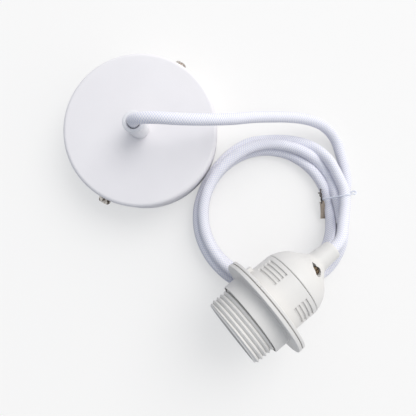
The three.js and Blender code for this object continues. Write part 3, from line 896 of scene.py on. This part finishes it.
@dataclass
class Studio:
    """Camera, floor and light, which are not part of the object."""

    camera_place: Place = (0.00186, -0.06696, 0.2692)
    right: Place = (0.7895, -0.6136, -0.0124)
    up: Place = (0.6137, 0.7891, 0.0254)
    focal_pixels: float = 425.25
    frame_pixels: float = 416.0
    floor_side: float = 6.0
    floor_drop: float = 0.1
    floor_colour: Colour = (0.5, 0.5, 0.52)
    shown_colour: Colour = (0.475, 0.468, 0.458)
    shown_glow: float = 0.49
    sky_dim: float = 0.36
    sky_bright: float = 1.08
    dim_colour: Colour = (0.8, 0.88, 1.0)
    bright_colour: Colour = (1.0, 0.99, 0.98)
    backdrop_colour: Colour = (1.0, 1.0, 1.0)
    backdrop_glow: float = 0.94
    key_watts: float = 39.0
    key_place: Place = (1.97, 0.39, 2.24)
    key_side: float = 2.4
    key_colour: Colour = (1.0, 0.995, 0.985)
    key_aim: Place = (0.02, -0.07, 0.0)
    sensor_width: float = 36.0
    sky_edge: float = 0.8

    def set_camera(self) -> None:
        """Puts the camera where the photograph was taken from."""
        data = bpy.data.cameras.new("photo_camera")
        data.sensor_width = self.sensor_width
        data.lens = self.focal_pixels / self.frame_pixels * self.sensor_width
        data.clip_start = 0.01
        data.clip_end = 20.0
        made = linked("photo_camera", data)
        right = Vector(self.right).normalized()
        back = right.cross(Vector(self.up)).normalized()
        basis = Matrix((right, back.cross(right), back)).transposed()
        made.matrix_world = Matrix.Translation(Vector(self.camera_place)) @ basis.to_4x4()
        bpy.context.scene.camera = made

    def floor_material(self) -> bpy.types.Material:
        """A pale sheet: bright with soft shadows to the camera, less bright to the object it lights.

        Returns:
            The floor's material.
        """
        made, bench = blank_material("pale_sheet")
        seen = bench.seen_directly()
        colour = bench.blend(seen, self.floor_colour, self.shown_colour)
        shader = bench.add("ShaderNodeBsdfDiffuse", {"Color": colour})
        glow = bench.add("ShaderNodeEmission", {"Strength": bench.sum("MULTIPLY", seen, self.shown_glow)})
        both = bench.add("ShaderNodeAddShader", {0: shader.outputs["BSDF"], 1: glow.outputs["Emission"]})
        bench.add("ShaderNodeOutputMaterial", {"Surface": both.outputs["Shader"]})
        return made

    def lay_floor(self) -> None:
        """Lays the floor just under the object."""
        half = self.floor_side / 2 / MM
        corners = [(x, y, -self.floor_drop) for x, y in oblong(half, half)]
        made = new_piece("floor", np.array(corners), [(0, 1, 2, 3)])
        if made.data.polygons[0].normal.z < 0:
            made.data.flip_normals()
        made.data.materials.append(self.floor_material())

    def light(self) -> None:
        """Lights the object with a pale sky, brighter on one side, and one large soft lamp on that side."""
        world = bpy.data.worlds.new("soft_sky")
        world.use_nodes = True
        bench = ShaderBench(world.node_tree)
        across = bench.parts(bench.add("ShaderNodeTexCoord").outputs["Generated"])["X"]
        side = bench.spread(across, -self.sky_edge, self.sky_edge)
        strength = bench.spread(across, -self.sky_edge, self.sky_edge, self.sky_dim, self.sky_bright)
        seen = bench.seen_directly()
        backdrop = bench.sum("MULTIPLY", seen, self.backdrop_glow)
        tinted = bench.blend(side, self.dim_colour, self.bright_colour)
        shown = bench.blend(seen, tinted, self.backdrop_colour)
        sky = world.node_tree.nodes["Background"]
        bench.fill(sky, {"Color": shown, "Strength": bench.sum("MAXIMUM", strength, backdrop)})
        bpy.context.scene.world = world
        data = bpy.data.lights.new("key_lamp", "AREA")
        data.shape = "DISK"
        data.size = self.key_side
        data.energy = self.key_watts
        data.color = self.key_colour
        lamp = linked("key_lamp", data)
        lamp.location = self.key_place
        aim = Vector(self.key_aim) - Vector(self.key_place)
        lamp.rotation_mode = "QUATERNION"
        lamp.rotation_quaternion = aim.to_track_quat("-Z", "Y")

    def build(self) -> None:
        """Sets camera, floor and light, and keeps the view transform plain."""
        bpy.context.scene.view_settings.view_transform = "Standard"
        self.set_camera()
        self.lay_floor()
        self.light()
        LOG.info("studio: camera, floor and light are set")


@dataclass
class TextileCord:
    """The cord: out of the rose, over in an arch, three turns of coil, and into the lamp holder's neck."""

    diameter: float = 6.4
    coil_centre: Point = (30.4255, -85.4446)
    ring_step: float = 0.65
    sides: int = 36
    relief: float = 0.12

    def rise(self) -> list[Place]:
        """The cord in the rose and its grip, up to the top of the arch and down again."""
        return [
            (0, 0, 15.2), (0, 0, 25), (0, 0, 45), (0.5, -0.4, 48.4), (3.7, -3.1, 53.2), (9.8, -8.2, 55.4),
            (18.8, -15.8, 54.4), (30.3, -23.7, 49.4), (42, -30.4, 42),
        ]

    def arch(self) -> list[Place]:
        """The cord from the arch to the table, written as offsets from the coil's centre and lifts.

        Returns:
            The points in the row frame, in millimetres.
        """
        offsets = [
            (23.7, 49.4, 30.3), (33.8, 43.9, 23.3), (44.1, 37.5, 16.8), (52.7, 30.6, 11.3), (58.6, 23.3, 7.1),
            (61.2, 16.2, 3.8), (61.3, 9.6, 1.6), (59.3, 2.8, 0.5), (56, -5.5, 0), (51.6, -13.5, 0),
        ]
        middle_x, middle_y = self.coil_centre
        return [(middle_x + x, middle_y + y, self.diameter / 2 + lift) for x, y, lift in offsets]

    def stations(self) -> list[tuple[float, tuple[Point, ...]]]:
        """Angles round the coil, clockwise from the tie, each with its three strands' distance and height."""
        return [
            (-26, ((49.0, 3.2), (38.3, 3.6), (42.9, 8.2))),
            (-36, ((47.2, 3.2), (38.4, 4.6), (43.5, 8.6))),
            (-46, ((46.4, 3.2), (38.8, 6.2), (45.1, 9.4))),
            (-57, ((45.2, 3.2), (39.4, 8.0), (47.4, 9.2))),
            (-68, ((43.6, 3.2), (40.1, 9.2), (49.0, 6.8))),
            (-80, ((41.9, 3.2), (40.8, 9.8), (50.2, 3.5))),
            (-93, ((40.5, 3.2), (41.4, 9.7), (48.9, 3.2))),
            (-108, ((39.9, 3.2), (41.8, 9.7), (46.9, 3.2))),
            (-124, ((39.8, 3.2), (42.4, 9.6), (46.3, 3.2))),
            (-140, ((39.8, 3.2), (42.0, 9.5), (46.2, 3.3))),
            (-155, ((39.8, 3.2), (41.4, 10.3), (45.9, 4.7))),
            (-170, ((39.8, 3.2), (40.8, 12.0), (45.0, 6.8))),
            (-185, ((39.8, 3.2), (40.4, 13.0), (44.4, 7.8))),
            (-202, ((39.8, 3.2), (40.2, 13.5), (43.9, 8.1))),
            (-220, ((39.8, 3.2), (40.0, 14.2), (43.2, 8.6))),
            (-236, ((39.9, 3.2), (39.9, 14.9), (42.3, 9.0))),
            (-251, ((39.9, 3.2), (39.9, 14.9), (42.2, 9.0))),
            (-265, ((39.9, 3.2), (40.1, 14.6), (42.6, 8.8))),
            (-280, ((39.9, 3.2), (40.8, 13.2), (44.2, 7.7))),
            (-294, ((39.9, 3.2), (42.0, 10.9), (45.8, 5.1))),
            (-308, ((39.8, 3.2), (43.0, 8.8), (46.4, 3.2))),
            (-324, ((39.5, 3.3), (43.4, 8.3), (48.0, 3.7))),
            (-340, ((39.1, 3.6), (44.2, 7.4), (50.0, 5.2))),
            (-355, ((38.7, 4.0), (45.0, 4.4), (49.6, 8.4))),
            (-369, ((38.4, 4.4), (44.6, 4.0), (48.1, 9.4))),
        ]

    def tail(self, lamp: LampAxis) -> list[Place]:
        """The cord off the top of the coil and into the lamp holder's neck.

        Args:
            lamp: The lamp holder's frame.

        Returns:
            The route's last points.
        """
        neck = lamp.point(0, 0, 73.4)
        return [
            self.beside_centre(-20, 47.1, 12.2),
            self.beside_centre(-29.5, 45.3, 14.6),
            self.beside_centre(-38.5, 43.3, 17.8),
            (neck[0] + 14.2, neck[1] + 5.2, neck[2] - 7.2),
            (neck[0] + 7.2, neck[1] + 1.2, neck[2] - 2.3),
            lamp.point(0, 0, 74.4),
            lamp.point(0, 0, 65),
            lamp.point(0, 0, 51.6),
        ]

    def beside_centre(self, degrees: float, distance: float, height: float) -> Place:
        """A point beside the coil's centre.

        Args:
            degrees: Its angle round the centre.
            distance: Its distance from the centre.
            height: Its height above the table.

        Returns:
            The point in the row frame, in millimetres.
        """
        angle = math.radians(degrees)
        middle_x, middle_y = self.coil_centre
        return (middle_x + distance * math.cos(angle), middle_y + distance * math.sin(angle), height)

    def route(self, lamp: LampAxis) -> np.ndarray:
        """The cord's centreline from the rose to the lamp holder.

        Args:
            lamp: The lamp holder's frame.

        Returns:
            Points in millimetres, one for each ring of the mesh.
        """
        points = [*self.rise(), *self.arch()]
        for turn in range(3):
            for degrees, strands in self.stations():
                points.append(self.beside_centre(degrees, *strands[turn]))
        points += self.tail(lamp)
        return smooth_route(points, self.ring_step)

    def build(self, lamp: LampAxis, with_pieces: Sequence[Piece]) -> None:
        """Args:
            lamp: The lamp holder's frame.
            with_pieces: The pieces that lie on the cord; not used.
        """
        path = self.route(lamp)
        section = np.array(circle(self.diameter / 2, self.sides))

        def crossing_yarns(ring: np.ndarray, corner: np.ndarray) -> np.ndarray:
            """Raises the surface where two yarns cross.

            Args:
                ring: The ring's number along the cord.
                corner: The corner's number round the cord.

            Returns:
                What the section's points are multiplied by.
            """
            down = math.pi * ring * self.ring_step / TEXTILE.pitch
            about = math.pi * TEXTILE.yarns * corner / self.sides
            crest = np.abs(np.sin(down + about) * np.sin(down - about))
            return 1.0 + self.relief / (self.diameter / 2) * (crest - 0.9)

        made = TEXTILE.cover(swept("cord", path, section, relief=crossing_yarns))
        settle(made, SET_BODY, "textile", "cord_lead", "cord_coil", "cord_tail")
        length = float(np.linalg.norm(np.diff(path, axis=0), axis=1).sum()) * MM
        LOG.info("cord: %.3f m long", length)


@dataclass
class WireTie:
    """A twist tie: a taut clear strap over the bundle, its ends twisted together, and a flat bronze tail."""

    strap_radius: float = 0.48
    wire_radius: float = 0.36
    twist_turns: float = 1.5
    twist_spread: float = 0.4
    loose_spread: float = 0.9
    tail_width: float = 3.0
    tail_thickness: float = 0.4

    def flat(self, width: float, thickness: float) -> np.ndarray:
        """A flat section with round edges.

        Args:
            width: The section's width.
            thickness: Its thickness.

        Returns:
            The section's points.
        """
        edge = thickness / 2
        turns = np.linspace(-math.pi / 2, math.pi / 2, 5)
        right = [(width / 2 - edge + edge * math.cos(a), edge * math.sin(a)) for a in turns]
        return np.array(right + [(-x, -y) for x, y in right])

    def build(self, cord: TextileCord) -> Piece:
        """Makes the tie as one piece with three finishes.

        Args:
            cord: The cord it holds together.

        Returns:
            The tie.
        """

        def route(step: float, *stops: Place) -> np.ndarray:
            """A smooth route through points given by angle, distance and height round the coil's centre."""
            return smooth_route([cord.beside_centre(*stop) for stop in stops], step)

        around = route(
            0.4,
            (-21.5, 34.4, 4.2), (-22.2, 34.3, 6.6), (-22.6, 35.2, 9.2), (-23.2, 40.0, 12.6),
            (-23.9, 45.0, 16.2), (-24.2, 48.2, 16.2), (-24.4, 51.0, 12.4), (-24.5, 53.2, 8.2),
            (-24.9, 54.9, 6.0), (-24.0, 56.2, 4.9), (-22.9, 55.4, 4.2), (-23.2, 53.9, 3.6),
            (-24.0, 53.0, 2.4), (-24.3, 52.7, 1.0),
        )
        strap = CLEAR_FILM.cover(swept("tie_strap", around, np.array(circle(self.strap_radius, 12))))
        twisted = route(0.25, (-13.6, 34.6, 6.4), (-18, 34.2, 7.4), (-22.6, 33.9, 7.2), (-26.0, 33.9, 6.0))
        wires = []
        for side in (0.0, math.pi):
            phase = np.linspace(0, 2 * math.pi * self.twist_turns, len(twisted)) + side
            spread = self.twist_spread + self.loose_spread * np.linspace(1, 0, len(twisted)) ** 3
            sideways = spread * np.cos(phase)
            offset = np.stack([sideways, 0.3 * sideways, 0.4 * np.sin(phase)], axis=1)
            wire = swept("tie_wire", twisted + offset, np.array(circle(self.wire_radius, 10)))
            wires.append(DARK_FILM.cover(wire))
        loose = route(0.5, (-24.6, 33.9, 6.4), (-28, 34.1, 5.6), (-35, 34.3, 4.0), (-42.4, 34.6, 2.9))
        section = self.flat(self.tail_width, self.tail_thickness)
        tail = TAN_FILM.cover(swept("tie_tail", loose, section, upward=Vector((0.0, 0.0, 1.0))))
        made = joined("tie", strap, *wires, tail)
        settle(made, SET_BODY, "tie", "wire_tie")
        return made


@dataclass
class SlottedScrew:
    """A pan-head screw along +Z: its head stands on z = 0 and its shank hangs below."""

    head_radius: float
    head_height: float
    shank_radius: float
    shank_length: float
    slot_width: float
    thread_pitch: float = 0.7
    thread_depth: float = 0.28
    thread_height: float = 0.26

    def build(self, name: str, place: Matrix, finish: Finish) -> Piece:
        """Makes the screw.

        Args:
            name: The object's name.
            place: Where it goes, in metres.
            finish: Its finish.

        Returns:
            The screw.
        """
        core, tip = self.shank_radius - self.thread_depth, -self.shank_length
        head, top = self.head_radius, self.head_height
        outline = rounded(
            [
                (0, tip, 0), (core, tip, 0.15), (core, -0.4, 0), (core, 0, 0), (head, 0, 0.12),
                (head, 0.45 * top, 0.5), (0.78 * head, 0.93 * top, 1.2), (0.3 * head, top, 1.0), (0, top, 0),
            ], 4,
        )
        outline = subdivided(outline, 0.16, tip, -0.35)
        ends = (tip, tip + 0.8, -0.9, -0.3)
        thread = thread_relief(self.thread_height, self.thread_pitch, ends, 0.9 * core)
        made = turned(name, outline, segments=48, relief=thread)
        carve(made, prism("slot", oblong(1.5 * head, self.slot_width / 2), 0.5 * top, top + 1))
        made.data.transform(place)
        return finish.cover(made)


@dataclass
class CeilingRose:
    """The rose: a pressed steel dish with its cord grip and two side screws."""

    radius: float = 45.0
    height: float = 25.0
    wall: float = 1.0
    edge: float = 2.4
    bore: float = 3.6
    grip_radius: float = 5.9
    foot_radius: float = 5.5
    grip_height: float = 20.0
    stem_radius: float = 4.5
    stem_length: float = 9.5
    strap_degrees: float = 23.0
    screw_height: float = 15.0
    side_hole: float = 2.3
    grip_hole: float = 1.8
    stem_pitch: float = 1.0
    stem_thread: float = 0.33

    def cover(self) -> None:
        """The painted dish, with the rounded edge left by the press and a hole for each side screw."""
        inner, below = self.radius - self.wall, self.height - self.wall
        middle = self.stem_radius + GAP
        outline = rounded(
            [
                (inner, 0, 0.3), (self.radius, 0, 0.4), (self.radius, self.height, self.edge),
                (middle, self.height, 0.25), (middle, below, 0.1), (inner, below, self.edge - self.wall),
            ], 8,
        )
        made = turned("rose_dish", outline, segments=200)
        across = moved(0, 0, self.screw_height) @ spun(self.strap_degrees) @ spun(90, "Y")
        beyond = self.radius + 15
        carve(made, prism("side_holes", circle(self.side_hole), -beyond, beyond, across))
        settle(WHITE_PAINT.cover(made), SET_BODY, "white_paint", "rose_cover")

    def grip(self) -> None:
        """The plastic cord grip with its rolled lip and threaded stem."""
        top, foot = self.height + self.grip_height, self.height + GAP
        end, core = foot - self.stem_length, self.stem_radius - 0.35
        wide, bore = self.grip_radius, self.bore
        outline = rounded(
            [
                (bore, end, 0.2), (core, end, 0.3), (core, foot, 0.0), (self.foot_radius, foot, 0.3),
                (wide - 0.4, top - 2.8, 0.8), (wide + 0.2, top - 1.9, 0.5), (wide + 0.1, top, 0.8),
                (bore + 0.5, top, 0.5), (bore, top - 1.3, 0.5),
            ], 5,
        )
        outline = subdivided(outline, 0.2, end - 0.1, foot + 0.05)
        ends = (end, end + 1, foot - 0.9, foot - 0.1)
        thread = thread_relief(self.stem_thread, self.stem_pitch, ends, core - 0.05)
        made = turned("grip", outline, segments=96, relief=thread)
        hole = moved(0, 0, self.height + self.grip_height / 2) @ spun(-90, "X")
        carve(made, prism("grip_hole", circle(self.grip_hole, 32), 0, 2 * wide + 0.2, hole))
        settle(WHITE_PLASTIC.cover(made), SET_BODY, "white_plastic", "rose_cord_grip")

    def side_screw(self, node: str, side: int) -> None:
        """One of the two screws through the rose's wall.

        Args:
            node: The CAD node it stands for.
            side: 1 for the strap's +X end, -1 for the other.
        """
        place = moved(side * (self.radius + GAP), 0, self.screw_height) @ spun(90 * side, "Y")
        screw = SlottedScrew(3.7, 3.0, shank_radius=1.8, shank_length=8.3, slot_width=0.9)
        # The two side screws get different copies of nickel; the left one's near-black patches are painted
        # dark reflection
        finish = BRIGHT_NICKEL if side > 0 else NICKEL_WITH_PAINTED_DARK_REFLECTION
        made = screw.build(f"{node}_detail", spun(self.strap_degrees) @ place, finish)
        settle(made, SET_BODY, "nickel", node)

    def build(self) -> None:
        """Makes all the rose's pieces."""
        self.cover()
        self.grip()
        self.side_screw("side_screw_right", 1)
        self.side_screw("side_screw_left", -1)


@dataclass
class LampHolder:
    """The screw lamp holder: body, shade ring, cap, neck screw and screw shell."""

    axis: LampAxis
    skirt_bore: float = 17.2
    thread_root: float = 18.6
    thread_crest: float = 19.75
    thread_pitch: float = 2.5
    thread_end: float = 18.5
    disc_front: float = 23.3
    disc_back: float = 25.2
    disc_radius: float = 28.8
    barrel_radius: float = 19.4
    barrel_bore: float = 17.2
    seam: float = 42.3
    ledge_radius: float = 15.35
    ledge_front: float = 30.0
    ledge_back: float = 32.0
    groove_depth: float = 0.9
    groove_width: float = 1.3
    groove_pitch: float = 2.4
    group_turn: float = -49.0
    group_span: float = 43.0
    collar_front: float = 12.1
    collar_lip: float = 0.6
    collar_lead_in: float = 1.6
    ring_front: float = 20.9
    ring_back: float = 23.0
    ring_radius: float = 29.0
    collar_radius: float = 21.5
    neck_end: float = 73.4
    neck_root: float = 61.0
    neck_root_radius: float = 6.4
    neck_bore: float = 3.6
    screw_place: float = 55.2
    screw_turn: float = 8.0
    cavity_end_radius: float = 7.0
    cap_front: float = 38.3
    cap_wall: float = 1.9
    hole_radius: float = 2.5
    tapped_radius: float = 2.05
    hole_floor: float = 5.4
    last_groove: float = 3.1
    rim_step: float = 1.2
    notch_turn: float = -32.0
    lug_turn: float = -84.0
    lug_half_width: float = 1.6
    lug_reach: float = 2.6
    lug_length: float = 4.4
    parting_turn: float = 20.0
    parting_height: float = 0.14
    parting_degrees: float = 1.2
    ring_thread: float = 0.55

    def first_groove(self) -> float:
        """The middle of the first grip groove, measured from the mouth."""
        return self.seam - self.last_groove - 3 * self.groove_pitch

    def skirt_thread(self, angle: np.ndarray, height: np.ndarray) -> np.ndarray:
        """The helical thread outside the skirt.

        Args:
            angle: Angles round the axis.
            height: Distances from the mouth.

        Returns:
            How far the thread stands out, in millimetres.
        """
        shaped = np.clip(1.25 * flank_thread(angle, height, self.thread_pitch) - 0.1, 0.0, 0.98)
        ends = between(height, 0.3, 1.4, self.thread_end - 0.6, self.thread_end + 1.0)
        return (self.thread_crest - self.thread_root) * shaped * ends

    def grooves(self, angle: np.ndarray, height: np.ndarray) -> np.ndarray:
        """The groups of short grip grooves round the barrel.

        Args:
            angle: Angles round the axis.
            height: Distances from the mouth.

        Returns:
            How deep the barrel is cut, in millimetres.
        """
        degrees = (np.degrees(angle) - self.group_turn + 45.0) % 90.0 - 45.0
        across = smoothstep(self.group_span / 2 + 0.5, self.group_span / 2 - 0.9, np.abs(degrees))
        depth = np.zeros_like(angle)
        for row in range(4):
            off = np.abs(height - self.first_groove() - row * self.groove_pitch)
            depth += smoothstep(self.groove_width / 2 + 0.12, self.groove_width / 2 - 0.16, off)
        return self.groove_depth * across * depth

    def body_relief(self, angle: np.ndarray, height: np.ndarray, radius: np.ndarray) -> np.ndarray:
        """Thread, grooves and the notch in the disc.

        Args:
            angle: Angles round the axis.
            height: Distances from the mouth.
            radius: Radii of the plain outline.

        Returns:
            How far each point moves outwards, in millimetres.
        """
        root, crest, barrel = self.thread_root, self.thread_crest, self.barrel_radius
        on_skirt = (radius > root - 0.2) & (radius < crest) & (height < self.thread_end + 1)
        on_barrel = (radius > barrel - 0.05) & (radius < barrel + 0.05) & (height > self.disc_back)
        on_rim = radius > self.disc_radius - self.rim_step
        notch = smoothstep(2.2, 1.2, off_turn(angle, self.notch_turn))
        thread, grooves = self.skirt_thread(angle, height), self.grooves(angle, height)
        return on_skirt * thread - on_barrel * grooves - on_rim * notch

    def body(self) -> None:
        """The body in one moulding: threaded skirt, disc and barrel, with the lock's lug on the barrel."""
        bore, root, rim, barrel = self.skirt_bore, self.thread_root, self.disc_radius, self.barrel_radius
        front, back, step = self.disc_front, self.disc_back, self.rim_step
        inside, ledge = self.barrel_bore, self.ledge_radius
        outline = rounded(
            [
                (bore, 0, 0.25), (root, 0, 0.25), (root, front, 0.25), (rim - step, front, 0),
                (rim - step + 0.1, front + 0.3, 0), (rim, front + 0.3, 0.12), (rim, back, 0.4),
                (barrel, back, 0.3), (barrel, self.seam, 0.4), (inside, self.seam, 0.2),
                (inside, self.ledge_back, 0.2), (ledge, self.ledge_back, 0.2), (ledge, self.ledge_front, 0.2),
                (bore, self.ledge_front, 0.2),
            ], 4,
        )
        outline = subdivided(outline, 0.28, -0.1, front, root - 0.1)
        # The barrel is fine where its grooves are; one row in eight is enough on its plain stretch
        fine = 0.11
        fine_from, plain_from = self.first_groove() - self.groove_width / 2 - 0.55, back + 0.6
        outline = [
            (radius, height)
            for radius, height in subdivided(outline, fine, back, self.seam, barrel - 0.1)
            if height < plain_from or height > fine_from or round(height / fine) % 8 == 0
        ]
        made = turned("holder_moulding", outline, segments=272, relief=self.body_relief)
        half, root, reach = self.lug_half_width, barrel - 1, barrel + self.lug_reach
        shape = rounded([(root, -half, 0), (reach, -half, 0.4), (reach, half, 0.4), (root, half, 0)], 3)
        lug = prism("lug", shape, back - 0.5, back + self.lug_length, spun(self.lug_turn))
        carve(made, lug, Carving.ADD)
        made.data.transform(self.axis.place())
        settle(WARM_PLASTIC.cover(made), SET_BODY, "warm_plastic", "holder_body")

    def shade_ring(self) -> None:
        """The shade ring: collar and disc, threaded inside."""
        bore, collar, rim = self.thread_crest + 0.35, self.collar_radius, self.ring_radius
        lip = collar - self.collar_lip
        start, front, back = self.collar_front, self.ring_front, self.ring_back
        lead_end = start + self.collar_lead_in
        outline = rounded(
            [
                (bore, lead_end + self.collar_lip, 0.1), (lip, lead_end, 0.1), (lip, start, 0.08),
                (collar, start, 0.3), (collar, front, 0.35), (rim, front, 0.5), (rim, back, 0.15),
                (bore, back, 0.15),
            ], 5,
        )
        outline = subdivided(outline, 0.3, start - 0.1, back + 0.1)

        def relief(angle: np.ndarray, height: np.ndarray, radius: np.ndarray) -> np.ndarray:
            """The inside thread, and the parting line along the collar.

            Args:
                angle: Angles round the axis.
                height: Distances from the mouth.
                radius: Radii of the plain outline.

            Returns:
                How far each point moves outwards, in millimetres.
            """
            shaped = np.clip(1.2 * flank_thread(angle, height, self.thread_pitch) - 0.1, 0, 1)
            ends = between(height, lead_end + 0.6, lead_end + 1.4, back - 1.2, back - 0.4)
            off = off_turn(angle, self.parting_turn) / self.parting_degrees
            parting = self.parting_height * np.maximum(0, 1 - off)
            on_collar = (radius > collar - 0.1) & (height > start + 0.6)
            return self.ring_thread * shaped * ends * (radius < bore + 0.1) + parting * on_collar

        made = turned("ring_moulding", outline, segments=240, relief=relief, place=self.axis.place())
        settle(WARM_PLASTIC.cover(made), RING_BODY, "warm_plastic", "shade_ring")

    def cap(self) -> None:
        """The cap: spigot, dome and neck, with the drop-shaped hole for the neck screw."""
        shoulder, spigot, wall = self.seam + GAP, self.barrel_bore - 0.35, self.cap_wall
        r, bore, end = self.barrel_radius, self.neck_bore, self.neck_end
        neck, root = self.neck_root, self.neck_root_radius
        inside = self.screw_place - 3
        dome = [
            (r - 0.2, shoulder + 0.5, 0), (r - 1, shoulder + 3.2, 0), (r - 2.2, shoulder + 6, 0),
            (r - 3.7, shoulder + 8.5, 0), (r - 5.8, shoulder + 10.9, 0), (r - 8.5, shoulder + 13.2, 0),
            (root + 2.3, neck - 2.7, 0), (root + 0.6, neck - 1, 0), (root, neck, 0),
            (root - 0.3, neck + 3, 0), (root - 0.65, neck + 7, 0), (root - 0.9, end - 1, 0),
        ]
        foot = rounded(
            [
                (spigot - wall, self.cap_front, 0.2), (spigot, self.cap_front, 0.3), (spigot, shoulder, 0.1),
                (r - 0.4, shoulder, 0.15), (r - 0.2, shoulder + 0.5, 0.1),
            ], 4,
        )
        outline = [
            *foot[1:-5],
            *[(radius, height) for radius, height, _ in smooth_route(dome, 0.7)],
            (5.25, end - 0.3), (4.8, end), (4.1, end), (3.7, end - 0.25), (bore, end - 0.8), (bore, inside),
            (self.cavity_end_radius, inside), (r - 7.5, shoulder + 7.6), (r - 5, shoulder + 4.6),
            (spigot - wall, shoulder), (spigot - wall, self.cap_front + 0.2),
        ]
        made = turned("cap_moulding", outline, segments=240)
        hole = self.hole_radius
        arc = [math.radians(degrees) for degrees in range(-140, 141, 10)]
        drop = [(hole * math.cos(turn), hole * math.sin(turn)) for turn in arc]
        drop += [(-1.36 * hole, 0.76 * hole), (-2.1 * hole, 0.5 * hole), (-1.5 * hole, -0.35 * hole)]
        across = Matrix(((0, 0, 1), (1, 0, 0), (0, 1, 0))).to_4x4()
        place = spun(self.screw_turn) @ moved(0, 0, self.screw_place) @ across
        carve(made, prism("neck_hole", drop, self.hole_floor, r, place))
        carve(made, prism("tapped_hole", circle(self.tapped_radius), 0, self.hole_floor + 1, place))
        made.data.transform(self.axis.place())
        settle(WARM_PLASTIC.cover(made), SET_BODY, "warm_plastic", "holder_cap")

    def neck_screw(self) -> None:
        """The brass screw in the neck's hole: a thin shank under a slotted head."""
        shank, head, neck, top = 1.75, 2.25, 2.4, 4.6
        pitch, cut, half_slot, seat = 0.7, 0.22, 0.38, 3.5
        corners = [
            (0, 0, 0), (1.2, 0, 0), (shank, 0.5, 0.1), (shank, neck, 0.1), (head, neck, 0.1),
            (head, top, 0.35), (0, top, 0),
        ]
        outline = subdivided(rounded(corners, 4), 0.15, 0.6, neck)
        thread = thread_relief(-cut, pitch, (0.5, 1.0, 2.0, neck), shank - 0.05)
        made = turned("neck_screw_detail", outline, segments=48, relief=thread)
        carve(made, prism("slot", oblong(head + 0.75, half_slot), top - 1, top + 1.4))
        place = spun(self.screw_turn) @ moved(seat, 0, self.screw_place) @ spun(90, "Y")
        made.data.transform(self.axis.place() @ place)
        # The screw's dark brass is painted shade for the recess it sits in
        settle(BRASS_DARKENED_AS_SHADE.cover(made), SET_BODY, "brass", "neck_grip_screw")

    def screw_shell(self) -> None:
        """The thin metal shell with its rolled lamp thread."""
        front, back, radius, wall = 7.0, 32.0, 13.6, 0.5
        pitch, wave_height, inner = 3.6, 0.55, radius - wall
        outline = [
            (inner, front), (radius, front), (radius, back - 0.6), (radius - 0.6, back), (8, back),
            (8, back - wall), (inner - 0.5, back - wall), (inner, back - 1.0),
        ]
        outline = subdivided(outline, 0.35, front, back - 0.5)

        def rolled(angle: np.ndarray, height: np.ndarray, around: np.ndarray) -> np.ndarray:
            """The rolled thread, the same inside and outside."""
            ends = between(height, front - 0.2, front + 1.4, back - 6.5, back - 4) * (around > inner - 0.2)
            return wave_height * ends * np.cos(2 * np.pi * height / pitch - angle)

        made = turned("shell_detail", outline, segments=144, relief=rolled, place=self.axis.place())
        settle(NICKEL.cover(made), SET_BODY, "nickel", "screw_shell")

    def build(self) -> None:
        """Makes all the holder's pieces that are replaced by finer ones."""
        self.body()
        self.shade_ring()
        self.cap()
        self.neck_screw()
        self.screw_shell()


@dataclass
class InnerPieces:
    """The pieces inside, which keep their CAD shape and get a finish of their own."""

    zinc: tuple[str, ...] = ("mounting_strap", "rose_grip_nut")
    nickel: tuple[str, ...] = (
        "rose_grip_screw", "block_screw_live_in", "block_screw_live_out", "block_screw_neutral_in",
        "block_screw_neutral_out", "terminal_screw_live", "terminal_screw_neutral",
    )
    white: tuple[str, ...] = ("terminal_block", "contact_carrier")
    brass: tuple[str, ...] = ("centre_contact",)
    live: tuple[str, ...] = ("rose_live_core", "holder_live_core")
    neutral: tuple[str, ...] = ("rose_neutral_core", "holder_neutral_core")

    def build(self) -> None:
        """Gives each piece its finish."""
        finishes: dict[Finish, tuple[str, ...]] = {
            ZINC: self.zinc, NICKEL: self.nickel, WHITE_PLASTIC: self.white, BRASS_DARKENED_AS_SHADE: self.brass,
            LIVE_SLEEVE: self.live, NEUTRAL_SLEEVE: self.neutral,
        }
        for finish, names in finishes.items():
            for name in names:
                finish.cover(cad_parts[name])
                LOG.info("%s: kept, in %s", name, finish.name)


def main() -> None:
    """Builds the studio, the cord and then each sub-assembly."""
    logging.basicConfig(level=logging.INFO, format="%(message)s")
    Studio().build()
    lamp = LampAxis()
    cord = TextileCord()
    tie = WireTie().build(cord)
    cord.build(lamp, [tie])
    CeilingRose().build()
    LampHolder(lamp).build()
    InnerPieces().build()


if __name__ == "__main__":
    main()
